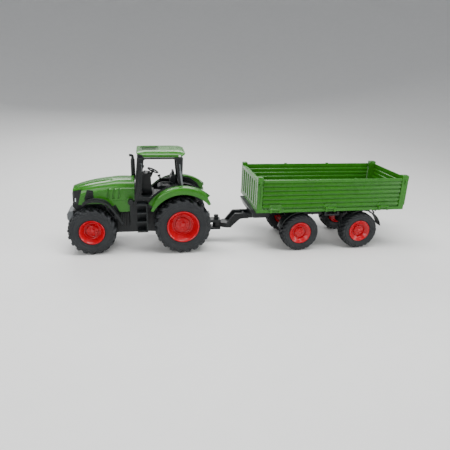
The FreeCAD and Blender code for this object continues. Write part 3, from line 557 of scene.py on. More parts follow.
VENT_FOOTS = (30.6, 24.4, 18.2)
vent_low, vent_high = hood_top - 21.4, hood_top - 8.6
INTAKE = [(46.4, -23.6), (56.4, -23.6), (57.0, -20.6), (53.4, -10.2), (46.6, -11.4)]
intake = [(hood_rear + forward, hood_top + drop) for forward, drop in INTAKE]
hood_cuts = Shell()
for forward in VENT_FOOTS:
    foot = hood_rear + forward
    vent = rounded([(foot - 1.4, vent_low), (foot + 1.5, vent_low), (foot - 0.4, vent_high),
                    (foot - 4.0, vent_high)], 0.7, 3)
    hood_cuts.add(prism("xz", vent, hood_half - 1.1, hood_half + 2))
hood_cuts.add(prism("xz", rounded(intake, 0.5, 2), hood_half - 1.6, hood_half + 2))
seam_z = hood_top - 23.6
hood_cuts.add(slab(hood_rear - 1, hood_rear + 27, hood_half - 0.35, hood_half + 2, seam_z, seam_z + 0.5))
stack_low, stack_high = span("exhaust_stack")
socket = rod((stack_low.x + 2.6, stack_low.y + 2.6, stack_low.z), (stack_low.x + 2.6, stack_low.y + 2.6, 99), 2.9)
hood = boolean(hood, both_sides(hood_cuts).add(socket))
piece("hood_cover", hood, "tractor", "green_plastic", ["hood_shell"], bevel=0.3, segments=2, sharp=30.0)

vent_blades = Shell()
for forward in VENT_FOOTS:
    foot = hood_rear + forward
    low_ring = [(foot - 1.5, hood_half - 1.3, vent_low), (foot + 0.2, hood_half - 1.3, vent_low),
                (foot - 0.2, hood_half + 0.35, vent_low + 0.5), (foot - 1.2, hood_half + 0.45, vent_low + 0.5)]
    high_ring = [(foot - 4.0, hood_half - 1.3, vent_high), (foot - 1.8, hood_half - 1.3, vent_high),
                 (foot - 2.3, hood_half + 0.1, vent_high - 1.2), (foot - 3.6, hood_half + 0.3, vent_high - 1.2)]
    vent_blades.add(skin([low_ring, high_ring]))
bead_z = hood_top - 22.6
vent_blades.add(slab(hood_rear + 5, hood_rear + 15.5, hood_half - 0.4, hood_half + 0.35, bead_z, bead_z + 0.9))
piece("hood_vents", both_sides(vent_blades), "tractor", "green_plastic", bevel=0.22)

intake_mesh = prism("xz", intake, hood_half - 1.7, hood_half - 0.9)
for step in range(4):
    slat_z = hood_top - 19.9 + step * 2.0
    intake_mesh.add(slab(hood_rear + 46.2 + step * 0.3, hood_rear + 54.2 - step * 0.6, hood_half - 1.2, hood_half - 0.1,
                         slat_z, slat_z + 0.9))
piece("hood_intakes", both_sides(intake_mesh), "tractor", "black_plastic", bevel=0.12)

grille_outline = [
    (brow_x, brow_z - 0.2), (lip_x, brow_z - 3.2), (nose, brow_z - 7), (nose, cheek_z), (cheek_x, cheek_z),
]
grille_plan = rounded([(brow_x, -16.6), (nose - 3, -13), (nose, -8.6), (nose, 8.6), (nose - 3, 13), (brow_x, 16.6)],
                      2.2, 4)
grille = boolean(prism("xz", grille_outline, -17, 17), prism("xy", grille_plan, hood_foot, hood_top), "INTERSECT")
grille_cuts = Shell()
for step in range(6):
    slot_z = cheek_z + 1.4 + step * 2.0
    grille_cuts.add(slab(nose - 1.5, nose + 2, -7.4, 7.4, slot_z, slot_z + 1.1))
for side in (-1, 1):
    grille_cuts.add(prism("yz", rounded([(side * 9.2, 61), (side * 14.5, 61), (side * 13.6, 66.8), (side * 9.2, 65.8)],
                                        0.8, 3), nose - 4.6, nose + 2))
grille = boolean(grille, grille_cuts)
chin = prism("xz", rounded([(nose - 36, cheek_z + 0.5), (nose, cheek_z + 0.5), (nose, grille_low.z + 5),
                            (nose - 4, grille_low.z), (nose - 36, grille_low.z)], 1.0, 3), -11, 11)
piece("grille_mask", grille, "tractor", "black_plastic", ["grille"], bevel=0.25)
piece("grille_chin", chin, "tractor", "black_plastic", bevel=0.6, segments=3)
lamps = Shell()
for side in (-1, 1):
    lamps.add(prism("yz", rounded([(side * 9.6, 61.4), (side * 13.6, 61.4), (side * 12.9, 66.1), (side * 9.6, 65.3)],
                                  0.8, 3), nose - 7, nose - 3.4))
piece("head_lamps", lamps, "tractor", "black_plastic", bevel=0.5, segments=3, material="lamp_lens")

stack_x, stack_y = stack_low.x + 2.6, stack_low.y + 2.6
stack_top = stack_high.z - 1.8
stack_path = [Vector((stack_x, stack_y, z)) for z in (stack_low.z, 81, 82, 103, 105.4, 106.6, 108.2)]
stack_path += arc(stack_x + 2.2, stack_top - 2.2, 2.2, 180, 95, 6, stack_y) + [Vector((stack_x + 4.2, stack_y, stack_top))]
STACK_SIZES = (2.1, 2.1, 2.6, 2.6, 2.5, 1.8, 1.65)


def stack_section(share):
    step = min(len(STACK_SIZES) - 1, int(round(share * (len(stack_path) - 1))))
    return disc(STACK_SIZES[step], 20)


stack = sweep(stack_path, stack_section, Y)
for step in range(7):
    band_z = 85 + step * 2.6
    stack.add(skin([[Vector((stack_x + u, stack_y + v, z)) for u, v in disc(size, 24)]
                    for z, size in ((band_z, 2.5), (band_z + 0.3, 2.78), (band_z + 0.9, 2.78), (band_z + 1.2, 2.5))]))
piece("exhaust_pipe", stack, "tractor", "black_plastic", ["exhaust_stack"], sharp=40.0)

# ------------------------------------------------------------------ mudguards, fenders and weight

guard_low, guard_high = span("front_mudguard_left")
GUARD_POINTS = ((7.8, 31.4), (4.9, 34.1), (-1.2, 36.3), (-7.2, 36.7), (-13.6, 35.4), (-19.5, 31.5), (-24.6, 24.6),
                (-29.5, 17.2), (-34.4, 8.4))
guard_path = [Vector((front_x + ahead, 0, front_z + up)) for ahead, up in
              [tuple(point) for point in through(GUARD_POINTS, 5)]]
guard_in, guard_out = hood_half + 0.2, front_high.y


def guard_section(share):
    """A thin crowned strip with two raised beads and turned-down edges."""
    grow = 0.75 + 0.25 * math.sin(math.pi * min(1.0, share * 1.15))
    middle = (guard_in + guard_out) / 2
    half = (guard_out - guard_in) / 2
    top = [(-1.0, -1.6), (-1.0, -0.2), (-0.92, 0.35), (-0.7, 0.5), (-0.58, 0.1), (0.0, 0.25), (0.5, 0.1), (0.62, 0.75),
           (0.84, 0.75), (0.94, 0.2), (1.0, -0.3), (1.0, -1.9), (0.88, -1.9), (0.84, -0.9), (-0.84, -0.9), (-0.9, -1.6)]
    return [(middle + across * half * grow - (1 - grow) * half * 0.2, out - 1.0) for across, out in top]


guard = sweep(guard_path, guard_section, Y)
bracket = slab(front_x - 32, front_x - 25.7, span("chassis_frame")[1].y - 2, hood_half + 3, 42.5, 47.5, 1.0)
stay = sweep([Vector((front_x - 26, hood_half + 1.2, 44)), Vector((front_x - 21, hood_half + 1.4, 50)),
              Vector((front_x - 16, hood_half + 1.6, 60))], oblong(2.2, 1.4, 0.4), Y)
pair("front_wing", joined(guard, bracket, stay), "tractor", "black_plastic", "front_mudguard", bevel=0.2)

fender_low, fender_high = span("rear_fender_left")
fender_in, fender_out = fender_low.y, fender_high.y
fender_rad = fender_high.z - rear_z
FENDER_DEEP = 8.8
fender_section = rounded([
    (fender_in, fender_rad - 1.8), (fender_in, fender_rad), (fender_out - 1.2, fender_rad - 0.4),
    (fender_out, fender_rad - 2.6), (fender_out, fender_rad - FENDER_DEEP), (fender_out - 1.7, fender_rad - FENDER_DEEP),
    (fender_out - 1.7, fender_rad - 3.2), (fender_out - 3.0, fender_rad - 2.2),
], 1.1, 4)


def fender_rings(start, end, steps):
    rings = []
    for step in range(steps + 1):
        angle = math.radians(start + (end - start) * step / steps)
        rings.append([Vector((rear_x + r * math.cos(angle), y, rear_z + r * math.sin(angle)))
                      for y, r in fender_section])
    return rings


fender = skin(fender_rings(24.0, 152.0, 64))
FENDER_SPAN = [(71, 34), (104.6, 54.2), (108.8, 55.4), (102.8, 67.4), (96, 76), (88, 86), (52, 86), (44.6, 74.6),
               (38.2, 62), (42.4, 59.6)]
fender = boolean(fender, prism("xz", FENDER_SPAN, fender_in - 2, fender_out + 2), "INTERSECT")
inner_web = skin([[Vector((rear_x + r * math.cos(angle), y, rear_z + r * math.sin(angle)))
                   for r, y in ((fender_rad - 8, fender_in + 0.2), (fender_rad - 0.6, fender_in + 0.2),
                                (fender_rad - 0.6, fender_in + 1.3), (fender_rad - 8, fender_in + 1.3))]
                  for angle in [math.radians(34 + step * 3.5) for step in range(29)]])
tail_plate = prism("xz", [(45.2, 73.8), (39.2, 62.2), (40.4, 61.6), (46.4, 73.0)], fender_in + 0.4, fender_out - 0.4)
rib_section = [(fender_in + 3.4 + u * 0.9, fender_rad - 0.2 + v * 0.5) for u, v in disc(1.0, 10)]
fender_rib = skin([[Vector((rear_x + r * math.cos(angle), y, rear_z + r * math.sin(angle))) for y, r in rib_section]
                   for angle in [math.radians(36 + step * 2.5) for step in range(39)]])
pair("rear_wing", joined(fender, fender_rib, inner_web, tail_plate), "tractor", "green_plastic", "rear_fender", bevel=0.25, sharp=45.0)

weight_low, weight_high = span("front_weight")
weight = prism("xz", rounded([(weight_low.x, 37), (weight_low.x + 5, 37), (weight_low.x + 7.2, 40),
                              (weight_low.x + 7.2, 46.5), (weight_low.x + 4.6, 50), (weight_low.x, 50)], 0.8, 3),
               -12.6, 12.6)
coupling = joined(slab(weight_low.x, weight_low.x + 8.6, -4.5, 4.5, 26, 32, 1.6),
                  slab(weight_low.x, weight_low.x + 2, -4.5, 4.5, 31.5, 37.5))
weight_cuts = rod((weight_low.x + 5.4, 0, 20), (weight_low.x + 5.4, 0, 36), 1.6, 24)
for step in range(5):
    weight_cuts.add(slab(weight_low.x + 5.6, weight_low.x + 9, -10.4 + step * 4.8, -8.8 + step * 4.8, 39.6, 47.6))
piece("nose_weight", boolean(joined(weight, coupling), weight_cuts), "tractor", "grey_plastic", ["front_weight"],
      bevel=0.35)

# ------------------------------------------------------------------ cab

cab_low, cab_high = span("cab_frame")
roof_low, roof_high = span("cab_roof")
side_in, side_out = cab_high.y - 2.4, cab_high.y
rail_z = cab_high.z
sill_z = cab_low.z
arch_low, arch_high = span("cab_floor")
step_low, step_high = span("step_left")
arch_rad = arch_high.z - rear_z

side_plate = [
    (hood_rear, step_high.z - 3.2), (hood_rear, hood_top - 14.4), (hood_rear - 4.4, rail_z), (hood_rear - 56.6, rail_z),
    (hood_rear - 55.6, 81.5), (hood_rear - 69, 79.5), (hood_rear - 79, 72), (hood_rear - 83, 64), (hood_rear - 27, 56),
    (step_low.x - 0.2, sill_z), (step_low.x - 0.2, step_high.z - 3.2),
]
window_gap = rounded([
    (hood_rear - 7.8, 70.2), (hood_rear - 12.0, rail_z - 1.5), (hood_rear - 48.8, rail_z - 1.5), (hood_rear - 51.6, 80),
    (hood_rear - 29, 62), (hood_rear - 21, 68.0),
], 2.6, 4)
window_tool = boolean(prism("xz", window_gap, side_in - 1, side_out + 1),
                      lathe([(0, side_in - 3), (49.4, side_in - 3), (49.4, side_out + 3), (0, side_out + 3)], 120,
                            (rear_x, 0, rear_z)))
wheel_well = lathe([(0, side_in - 3), (arch_rad - 2.5, side_in - 3), (arch_rad - 2.5, side_out + 3), (0, side_out + 3)],
                   120, (rear_x, 0, rear_z))
cab_side = boolean(boolean(prism("xz", side_plate, side_in, side_out), window_tool), wheel_well)
sill_bead = sweep(arc(rear_x, rear_z, 50.3, 33, 82, 24, side_out), oblong(0.9, 1.1, 0.3), Y)
pillar_foot, pillar_head = Vector((hood_rear - 3.1, side_out, 72)), Vector((hood_rear - 7.2, side_out, rail_z - 3))
pillar = sweep([pillar_foot, pillar_foot.lerp(pillar_head, 0.5), pillar_head],
               [(u - 0.2, v) for u, v in oblong(1.8, 4.4, 0.8)], Y)
grab_path = [pillar_foot + Vector((1.9, 0.4, 3)), pillar_foot + Vector((2.0, 2.0, 5))]
grab_path += [pillar_foot.lerp(pillar_head, share) + Vector((2.0, 2.2, 0)) for share in (0.2, 0.45, 0.7)]
grab_path += [pillar_foot.lerp(pillar_head, 0.76) + Vector((1.9, 0.4, 0))]
grab_rail = sweep([Vector(tuple(spot)) for spot in through(grab_path, 4)], disc(0.55, 10), Z.cross(Y))
rear_foot, rear_head = Vector((hood_rear - 53.6, side_out, 82)), Vector((hood_rear - 54.2, side_out, rail_z - 1))
rear_pillar = sweep([rear_foot, rear_head], [(u, v) for u, v in oblong(1.4, 2.6, 0.5)], Y)
door_hinges = joined(*[rod((hood_rear - 8.0 - share * 3.6, side_out + 0.5, z - 1.6),
                           (hood_rear - 8.4 - share * 3.6, side_out + 0.5, z + 1.6), 0.8, 10)
                       for share, z in ((0.1, 76), (0.9, 106))])
handle = sweep([Vector((hood_rear - 12.6, side_out - 0.6, 86)), Vector((hood_rear - 12.9, side_out + 0.8, 87.2)),
                Vector((hood_rear - 13.3, side_out + 0.8, 92)), Vector((hood_rear - 13.5, side_out - 0.6, 93.2))],
               disc(0.5, 8), X)
cab_mid = joined(
    prism("xz", [(hood_rear - 10.4, rail_z), (hood_rear - 10, rail_z - 2.9), (hood_rear - 4.4, rail_z - 2.9),
                 (hood_rear - 4.8, rail_z)], -side_in - 0.4, side_in + 0.4),
    slab(hood_rear - 56.4, hood_rear - 51.4, -side_in - 0.4, side_in + 0.4, rail_z - 2.9, rail_z),
    slab(hood_rear - 6.5, hood_rear, -side_in - 0.4, side_in + 0.4, arch_high.z - 7.4, hood_top - 15),
    slab(hood_rear - 55.4, hood_rear - 52, -side_in - 0.4, side_in + 0.4, 75.6, 81.5),
)
wiper = joined(rod((hood_rear - 4.2, 2, 73), (hood_rear - 6.6, -9, 92), 0.45, 8),
               rod((hood_rear - 3.2, 2, 72), (hood_rear - 5.2, 2, 74), 0.9, 10))
cab = joined(both_sides(joined(cab_side, pillar, rear_pillar)), cab_mid)
piece("cab_pillars", cab, "tractor", "black_plastic", ["cab_frame"], bevel=0.35, segments=2)
piece("cab_trim", both_sides(joined(sill_bead, grab_rail, door_hinges)).add(wiper), "tractor", "black_plastic", bevel=0.1)

# Slim rods on the rear pillars' lower half, made grey: the grey is a painted highlight that stands for the glint on the
# black pillars.
pillar_glint_rods = joined(
    rod((hood_rear - 55.4, side_out + 0.5, 83), (hood_rear - 53.4, side_out + 0.5, 100), 1.15, 14),
    rod((hood_rear - 53.6, side_out + 0.5, 99), (hood_rear - 52.6, side_out + 0.5, 108), 0.65, 12),
)
piece("rear_glint_struts", both_sides(pillar_glint_rods), "tractor", "grey_plastic")

floor_parts = joined(
    slab(rear_x - 14, hood_rear, -12.6, 12.6, 50, arch_high.z - 7.2, 1.0),
    slab(104, hood_rear, -side_in + 0.1, side_in - 0.1, step_high.z - 3.2, arch_high.z - 7.2, 0.6),
)
tub_wall = []
for y0, y1 in ((12.0, side_in - 0.05), (-side_in + 0.05, -12.0)):
    outer = arc(rear_x, rear_z, arch_rad, 24, 137, 40)
    inner = arc(rear_x, rear_z, arch_rad - 2.3, 137, 24, 40)
    tub_wall.append(prism("xz", [(spot.x, spot.z) for spot in outer + inner], y0, y1))
    lining = arc(rear_x, rear_z, arch_rad - 0.2, 60, 118, 24) + [Vector((rear_x - 14, 0, 55)), Vector((rear_x + 16, 0, 55))]
    tub_wall.append(prism("xz", [(spot.x, spot.z) for spot in lining], *((12.0, 13.4) if y0 > 0 else (-13.4, -12.0))))
mat_ribs = [slab(99.5 + step * 2.6, 100.7 + step * 2.6, -11, 11, 67.6, 68.3) for step in range(3)]
piece("cab_tub", joined(floor_parts, *tub_wall, *mat_ribs), "tractor", "black_plastic", ["cab_floor"], bevel=0.25)

# Along the roof: distance behind its front tip, underside, shoulder, top and how far the sides draw in.
ROOF_STATIONS = (
    (0.0, 119.9, 120.4, 120.5, 3.4), (0.9, 119.5, 120.6, 121.0, 1.0), (3.2, 119.3, 119.9, 121.6, 0.2),
    (6.6, 118.4, 119.2, 121.8, 0.0), (8.0, 115.4, 119.0, 121.9, 0.0), (16, 115.3, 119.0, 122.0, 0.0),
    (26, 115.3, 119.0, 122.0, 0.0), (43, 115.3, 119.0, 122.0, 0.0), (49.6, 115.3, 119.0, 121.8, 0.0),
    (52.8, 116.9, 118.9, 121.2, 0.6), (54.8, 118.0, 119.0, 120.4, 2.0), (55.8, 118.8, 119.3, 119.9, 4.6),
)


def roof_ring(station):
    """The roof's section: upright lips, a broad sloping shoulder and a nearly flat crowned top."""
    back, low, shoulder, top, draw = station
    half = roof_high.y - draw
    side = [(half - 0.7, low), (half, low + 0.7 if shoulder - low > 1.4 else low + 0.1), (half, shoulder - 0.5),
            (half - 0.5, shoulder + 0.1), (half - 3.4, (shoulder + top) / 2 + 0.3), (half - 6.2, top - 0.25),
            (half - 9.0, top - 0.05)]
    outline = side + [(0, top)] + [(-y, z) for y, z in reversed(side)]
    return [(roof_high.x - back, y, z) for y, z in outline]


roof = skin([roof_ring(station) for station in ROOF_STATIONS])
hatch_low, hatch_high = span("roof_hatch")
hatch_gap = slab(hatch_low.x, hatch_high.x, hatch_low.y, hatch_high.y, hatch_low.z, roof_high.z + 2, 1.8)
roof_lines = joined(*[slab(roof_low.x + 8, hatch_low.x - 3, side * 7 - 0.3, side * 7 + 0.3, roof_high.z - 0.35,
                           roof_high.z + 2) for side in (-1, 1)])
piece("roof_shell", boolean(roof, joined(hatch_gap, roof_lines)), "tractor", "green_plastic", ["cab_roof"],
      bevel=0.5, segments=3, sharp=24.0)
hatch = slab(hatch_low.x + 0.3, hatch_high.x - 0.3, hatch_low.y + 0.3, hatch_high.y - 0.3, hatch_low.z,
             hatch_high.z - 0.7, 1.6)
hatch_ribs = [slab(hatch_low.x + 2.5, hatch_high.x - 2.5, y - 0.5, y + 0.5, hatch_high.z - 0.9, hatch_high.z - 0.3)
              for y in (-7.5, -2.5, 2.5, 7.5)]
piece("hatch_cover", joined(hatch, *hatch_ribs), "tractor", "dark_green_plastic", ["roof_hatch"], bevel=0.2)

visor_low, visor_high = span("roof_visor")
visor = prism("xz", rounded([(visor_low.x, visor_low.z), (visor_high.x - 1.5, visor_low.z), (visor_high.x, 117.5),
                             (visor_high.x, visor_high.z), (visor_low.x, visor_high.z)], 0.7, 3),
              visor_low.y, visor_high.y)
visor_slots = joined(*[slab(visor_high.x - 1.2, visor_high.x + 2, y - 2.6, y + 2.6, 116.4, 118.4)
                       for y in (-17, 17)])
piece("front_visor", boolean(visor, visor_slots), "tractor", "black_plastic", ["roof_visor"], bevel=0.2)
roof_lamps = Shell()
for side in (-1, 1):
    for x, y, z in ((visor_high.x - 1.3, 17, 117.4),):
        roof_lamps.add(skin([[Vector((x + lift, side * y + u * 1.15, z + v * 0.8)) for u, v in disc(size, 16)]
                             for lift, size in ((0, 1.6), (0.7, 1.6), (1.1, 1.2), (1.25, 0.6))]))
    rear_lamp = Vector((roof_low.x + 6.6, side * (roof_high.y - 0.2), 116.9))
    roof_lamps.add(skin([[rear_lamp + Vector((u, side * lift, v * 0.7)) for u, v in disc(size, 16)]
                         for lift, size in ((-0.8, 1.5), (0.3, 1.5), (0.7, 1.1), (0.85, 0.5))]))
piece("roof_lamps", roof_lamps, "tractor", "green_plastic", material="lamp_lens")

mirror_low, mirror_high = span("mirror_left")
mirror_head = prism("yz", [(y + mirror_high.y - 2.1, z + (mirror_low.z + mirror_high.z) / 2)
                           for y, z in oblong(4.0, 10.2, 1.4, 4)], mirror_low.x + 0.1, mirror_low.x + 2.3)
mirror_arm = sweep([Vector((mirror_low.x + 2.2, side_out - 0.6, 109.6)), Vector((mirror_low.x + 2.0, side_out + 2, 109.8)),
                    Vector((mirror_low.x + 1.2, side_out + 5.2, 108.6))], disc(0.75, 12), Z)
mirror_stay = sweep([Vector((mirror_low.x + 2.2, side_out - 0.6, 103.6)), Vector((mirror_low.x + 1.9, side_out + 2, 103.6)),
                     Vector((mirror_low.x + 1.2, side_out + 5.0, 104.4))], disc(0.5, 10), Z)
pair("wing_mirror", joined(mirror_head, mirror_arm, mirror_stay), "tractor", "black_plastic", "mirror", bevel=0.25)
glass = prism("yz", [(y + mirror_high.y - 2.1, z + (mirror_low.z + mirror_high.z) / 2)
                     for y, z in oblong(3.1, 9.0, 1.1, 4)], mirror_low.x - 0.05, mirror_low.x + 0.3)
pair("mirror_face", glass, "tractor", "black_plastic", bevel=0.1, material="lamp_lens")

# ------------------------------------------------------------------ inside the cab

dash_low, dash_high = span("dash_console")
console = prism("xz", rounded([(dash_low.x, dash_low.z), (dash_high.x, dash_low.z), (dash_high.x, dash_high.z - 3.6),
                               (dash_high.x - 3.4, dash_high.z), (dash_low.x + 1.2, dash_high.z - 1.2)], 1.4, 4),
                dash_low.y, dash_high.y)
console_groove = joined(*[slab(dash_low.x - 3, dash_low.x + 0.7, y - 0.4, y + 0.4, 72, 88) for y in (-4.5, 4.5)])
gauges = joined(*[rod((dash_low.x + 3.2, y, dash_high.z - 2.2), (dash_low.x + 2.6, y, dash_high.z - 0.2), 1.7, 18)
                  for y in (-4.4, 0, 4.4)])
levers = joined(*[joined(rod((94, -10.5 + step * 1.4, 76), (96 + step, -10.5 + step * 1.4, 86), 0.4, 8),
                         rod((96 + step, -10.5 + step * 1.4, 85.4), (96.4 + step, -10.5 + step * 1.4, 87.6), 0.85, 10))
                  for step in range(3)])
piece("dash_unit", joined(boolean(console, console_groove), gauges, levers), "tractor", "black_plastic",
      ["dash_console"], bevel=0.3)

wheel_low, wheel_high = span("steering_wheel")
tilt = Matrix.Rotation(math.radians(-24.4), 3, "Y")
hub = Vector((104.6, 0, 95.2))
down = tilt @ Vector((0, 0, -1))
RING = 6.35
ring_path = [hub + tilt @ Vector((RING * math.cos(a), RING * math.sin(a), 0))
             for a in [math.radians(step * 10) for step in range(36)]]
steering = sweep(ring_path, disc(0.85, 12), tilt @ Z, loop=True)
for turn in (0, 120, 240):
    reach = tilt @ Vector((math.cos(math.radians(turn)), math.sin(math.radians(turn)), 0))
    steering.add(sweep([hub - down * -1.0 + reach * 1.2, hub - down * -0.4 + reach * 3.6, hub + reach * RING],
                       oblong(0.8, 1.5, 0.3), tilt @ Z))
steering.add(rod(hub + down * 1.8, hub - down * 0.5, 1.9, 20), rod(hub + down * 1.2, hub + down * 8.4, 1.4, 16, 1.7))
piece("wheel_and_column", steering, "tractor", "black_plastic", ["steering_wheel"], sharp=50.0)

seat_low, seat_high = span("driver_seat")
seat_half = 9.0
cushion = prism("xz", rounded([(seat_low.x + 2.6, 73.4), (seat_high.x - 0.2, 73.4), (seat_high.x, 76.8),
                               (seat_high.x - 4, 78.2), (seat_low.x + 5, 77.4)], 1.3, 4), -seat_half, seat_half)
back_rest = prism("xz", rounded([(seat_low.x + 1.0, 74.5), (seat_low.x + 5.8, 74), (seat_low.x + 6.4, 88),
                                 (seat_low.x + 4.4, seat_high.z), (seat_low.x + 0.4, seat_high.z - 0.6)], 1.3, 4),
                  -seat_half, seat_half)
pleats = Shell()
for step in range(5):
    y = -6.8 + step * 3.4
    pleats.add(sweep([Vector((seat_low.x + 8, y, 77.5)), Vector((seat_high.x - 4.6, y, 78.2)), Vector((seat_high.x - 1, y, 76.9))],
                     oblong(1.9, 0.9, 0.4), Y))
    pleats.add(sweep([Vector((seat_low.x + 6.1, y, 77)), Vector((seat_low.x + 6.4, y, 84)), Vector((seat_low.x + 5.2, y, 89.6))],
                     oblong(1.9, 0.9, 0.4), Y))
pedestal = joined(*[prism("xy", [(u + 89.5, v) for u, v in oblong(13 - grow, 13 - grow, 2.0)], z, z + 1.25)
                    for z, grow in ((68, 0), (69.1, 1.6), (70.2, 0), (71.3, 1.6), (72.3, 0))])
rests = Shell()
for side in (-1, 1):
    rests.add(sweep([Vector((seat_low.x + 3.5, side * 10.2, 76)), Vector((seat_low.x + 4.2, side * 10.2, 81.4)),
                     Vector((seat_low.x + 6.2, side * 10.2, 82.2)), Vector((seat_low.x + 16, side * 10.2, 82.2))],
                    oblong(2.4, 1.9, 0.6), Y))
head_pad = prism("xz", rounded([(seat_low.x + 1.2, seat_high.z - 2), (seat_low.x + 4.6, seat_high.z - 2), (seat_low.x + 4.2, 95.4),
                                (seat_low.x + 1.4, 95.0)], 1.0, 4), -5, 5)
piece("cab_seat", joined(cushion, back_rest, pedestal, rests, pleats, head_pad), "tractor", "black_plastic",
      ["driver_seat"], bevel=0.35, segments=3)

# ------------------------------------------------------------------ steps and side boxes

ladder_rear, ladder_front, box_front = step_low.x, step_low.x + 12.3, step_high.x - 1.6
face = step_high.y
ladder = Shell()
for rung_z in (28, 39.8, 50.6, 61):
    ladder.add(slab(ladder_rear, ladder_front, 22, face, rung_z, rung_z + 1.8, 0.5))
    for step in range(5):
        ladder.add(slab(ladder_rear + 1.4 + step * 2.2, ladder_rear + 2.2 + step * 2.2, 24, face - 0.6, rung_z + 1.6,
                        rung_z + 2.15))
ladder.add(slab(ladder_rear, ladder_rear + 1.7, 22, face - 0.6, 28, 62.8, 0.4),
           slab(ladder_rear, box_front, 20.4, 22.1, 28, 62.8),
           slab(ladder_rear + 2, box_front - 2, 10.6, 22, 32, 48, 1.2))
tank = prism("xz", rounded([(ladder_front, 27.6), (box_front - 1.2, 27.6), (box_front, 30), (box_front, 60.5),
                            (box_front - 2, 64), (ladder_front, 64)], 1.4, 4), 22, face)
tank_lines = joined(slab(ladder_front + 2.9, ladder_front + 3.3, face - 0.5, face + 1, 30.5, 61),
                    slab(ladder_front + 3.3, box_front - 1.4, face - 0.5, face + 1, 45.6, 46.0))
cap = rod((box_front - 1.4, 22.4, 64.2), (box_front - 1.4, face - 2, 64.2), 3.0, 24)
cap_ribs = joined(*[rod((box_front - 1.4 + 2.95 * math.cos(a), 26, 64.2 + 2.95 * math.sin(a)),
                        (box_front - 1.4 + 2.95 * math.cos(a), face - 2.3, 64.2 + 2.95 * math.sin(a)), 0.35, 6)
                    for a in [math.radians(step * 30) for step in range(12)]])
pair("ladder_and_tank", joined(ladder, boolean(tank, tank_lines), cap, cap_ribs), "tractor", "black_plastic", "step",
     bevel=0.25)

# ------------------------------------------------------------------ hitch, drawbar and trailer frame

pin_low, pin_high = span("hitch_pin")
pin_x = (pin_low.x + pin_high.x) / 2
pin_neck = pin_high.z - 4.6
pin = joined(rod((pin_x, 0, pin_low.z), (pin_x, 0, pin_neck + 0.4), 1.7, 20))
for size, low, high in ((3.2, 0.0, 1.3), (2.3, 1.2, 2.4), (3.0, 2.3, 4.6)):
    pin.add(rod((pin_x, 0, pin_neck + low), (pin_x, 0, pin_neck + high), size, 24))
piece("drop_pin_knob", pin, "drop_pin", "black_plastic", ["hitch_pin"], sharp=50.0)

bar_low, bar_high = span("drawbar")
ARM = [(14, 21.7), (8.6, 21.7), (-3, 32.6), (-12, 34.2), (-15.6, 34.2), (-15.6, 40), (3.4, 40), (13.4, 27.4), (14, 27.4)]
ARM_GAP = [(7.2, 24.6), (-1.9, 33.9), (-11.6, 35.5), (-14.2, 35.6), (-14.2, 38.6), (2.6, 38.6), (9.6, 29.4)]
EYE_Z0, EYE_Z1 = 21.65, 27.55
arm = boolean(prism("xz", rounded(ARM, 0.8, 3), 5.6, 9.5), prism("xz", rounded(ARM_GAP, 0.8, 3), 8.7, 12))
bar_nose = prism("xy", rounded([(7, -9.6), (14, -9.6), (22.5, -4.6), (pin_x, -4.6), (pin_x + 3.2, -3.4), (pin_x + 4.6, 0),
                                (pin_x + 3.2, 3.4), (pin_x, 4.6), (22.5, 4.6), (14, 9.6), (7, 9.6)], 1.6, 4),
                 EYE_Z0, EYE_Z1)
bar_eye = rod((pin_x, 0, 20), (pin_x, 0, 30), 1.8, 24)
cross_bar = joined(rod((-9.6, -9.4, 37.2), (-9.6, 9.4, 37.2), 2.0, 16), slab(-14.6, -5, -9.4, 9.4, 33.4, 36, 0.6),
                   rod((6.4, -9.4, 29.2), (6.4, 9.4, 29.2), 1.3, 14))
ram_pipe = joined(rod((-14.8, -3.0, 36.6), (3.0, -3.0, 34.4), 1.1, 14), rod((-14.8, 3.0, 36.6), (3.0, 3.0, 34.4), 1.1, 14))
piece("drawbar_arms", both_sides(arm).add(boolean(bar_nose, bar_eye), cross_bar, ram_pipe), "trailer", "black_plastic",
      ["drawbar"], bevel=0.3)

guard_edge = {}
for label, start, end in (("trailer_front", 14, 119), ("trailer_rear", 61, 166)):
    wheel_low, wheel_high = span(label + "_tyre_left")
    wheel_x, wheel_z = (wheel_low.x + wheel_high.x) / 2, (wheel_low.z + wheel_high.z) / 2
    guard_low, guard_high = span(label + "_guard_left")
    reach = wheel_high.z - wheel_z + 4.1
    middle_y, wide = (guard_low.y + guard_high.y) / 2, guard_high.y - guard_low.y
    path = arc(wheel_x, wheel_z, reach, start, end, 34)
    strip = sweep(path, [(middle_y + u, v) for u, v in oblong(wide, 1.0, 0.3)], Y)
    beads = joined(*[sweep(path, [(y + u, v - 0.1) for u, v in disc(0.65, 8)], Y)
                     for y in (guard_high.y - 0.65, guard_low.y + 0.65, middle_y)])
    foot_angle = math.radians((start + end) / 2 + (-14 if label == "trailer_front" else 14))
    foot = Vector((wheel_x + reach * math.cos(foot_angle), 0, wheel_z + reach * math.sin(foot_angle)))
    stay = joined(*[rod((foot.x + shift, guard_low.y - 3, 49.2), (foot.x + shift, guard_low.y + 7, foot.z + 0.5), 0.9, 10)
                    for shift in (-2.5, 2.5)])
    pair(label + "_fender", joined(strip, beads, stay), "trailer", "black_plastic", label + "_guard")

for node, width in (("trailer_frame", 0.45), ("side_brackets", 0.3), ("hitch_clevis", 0.45), ("chassis_frame", 0.5),
                    ("bed_floor", 0.3), ("axle_covers", 0.3)):
    round_off(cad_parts[node], width)

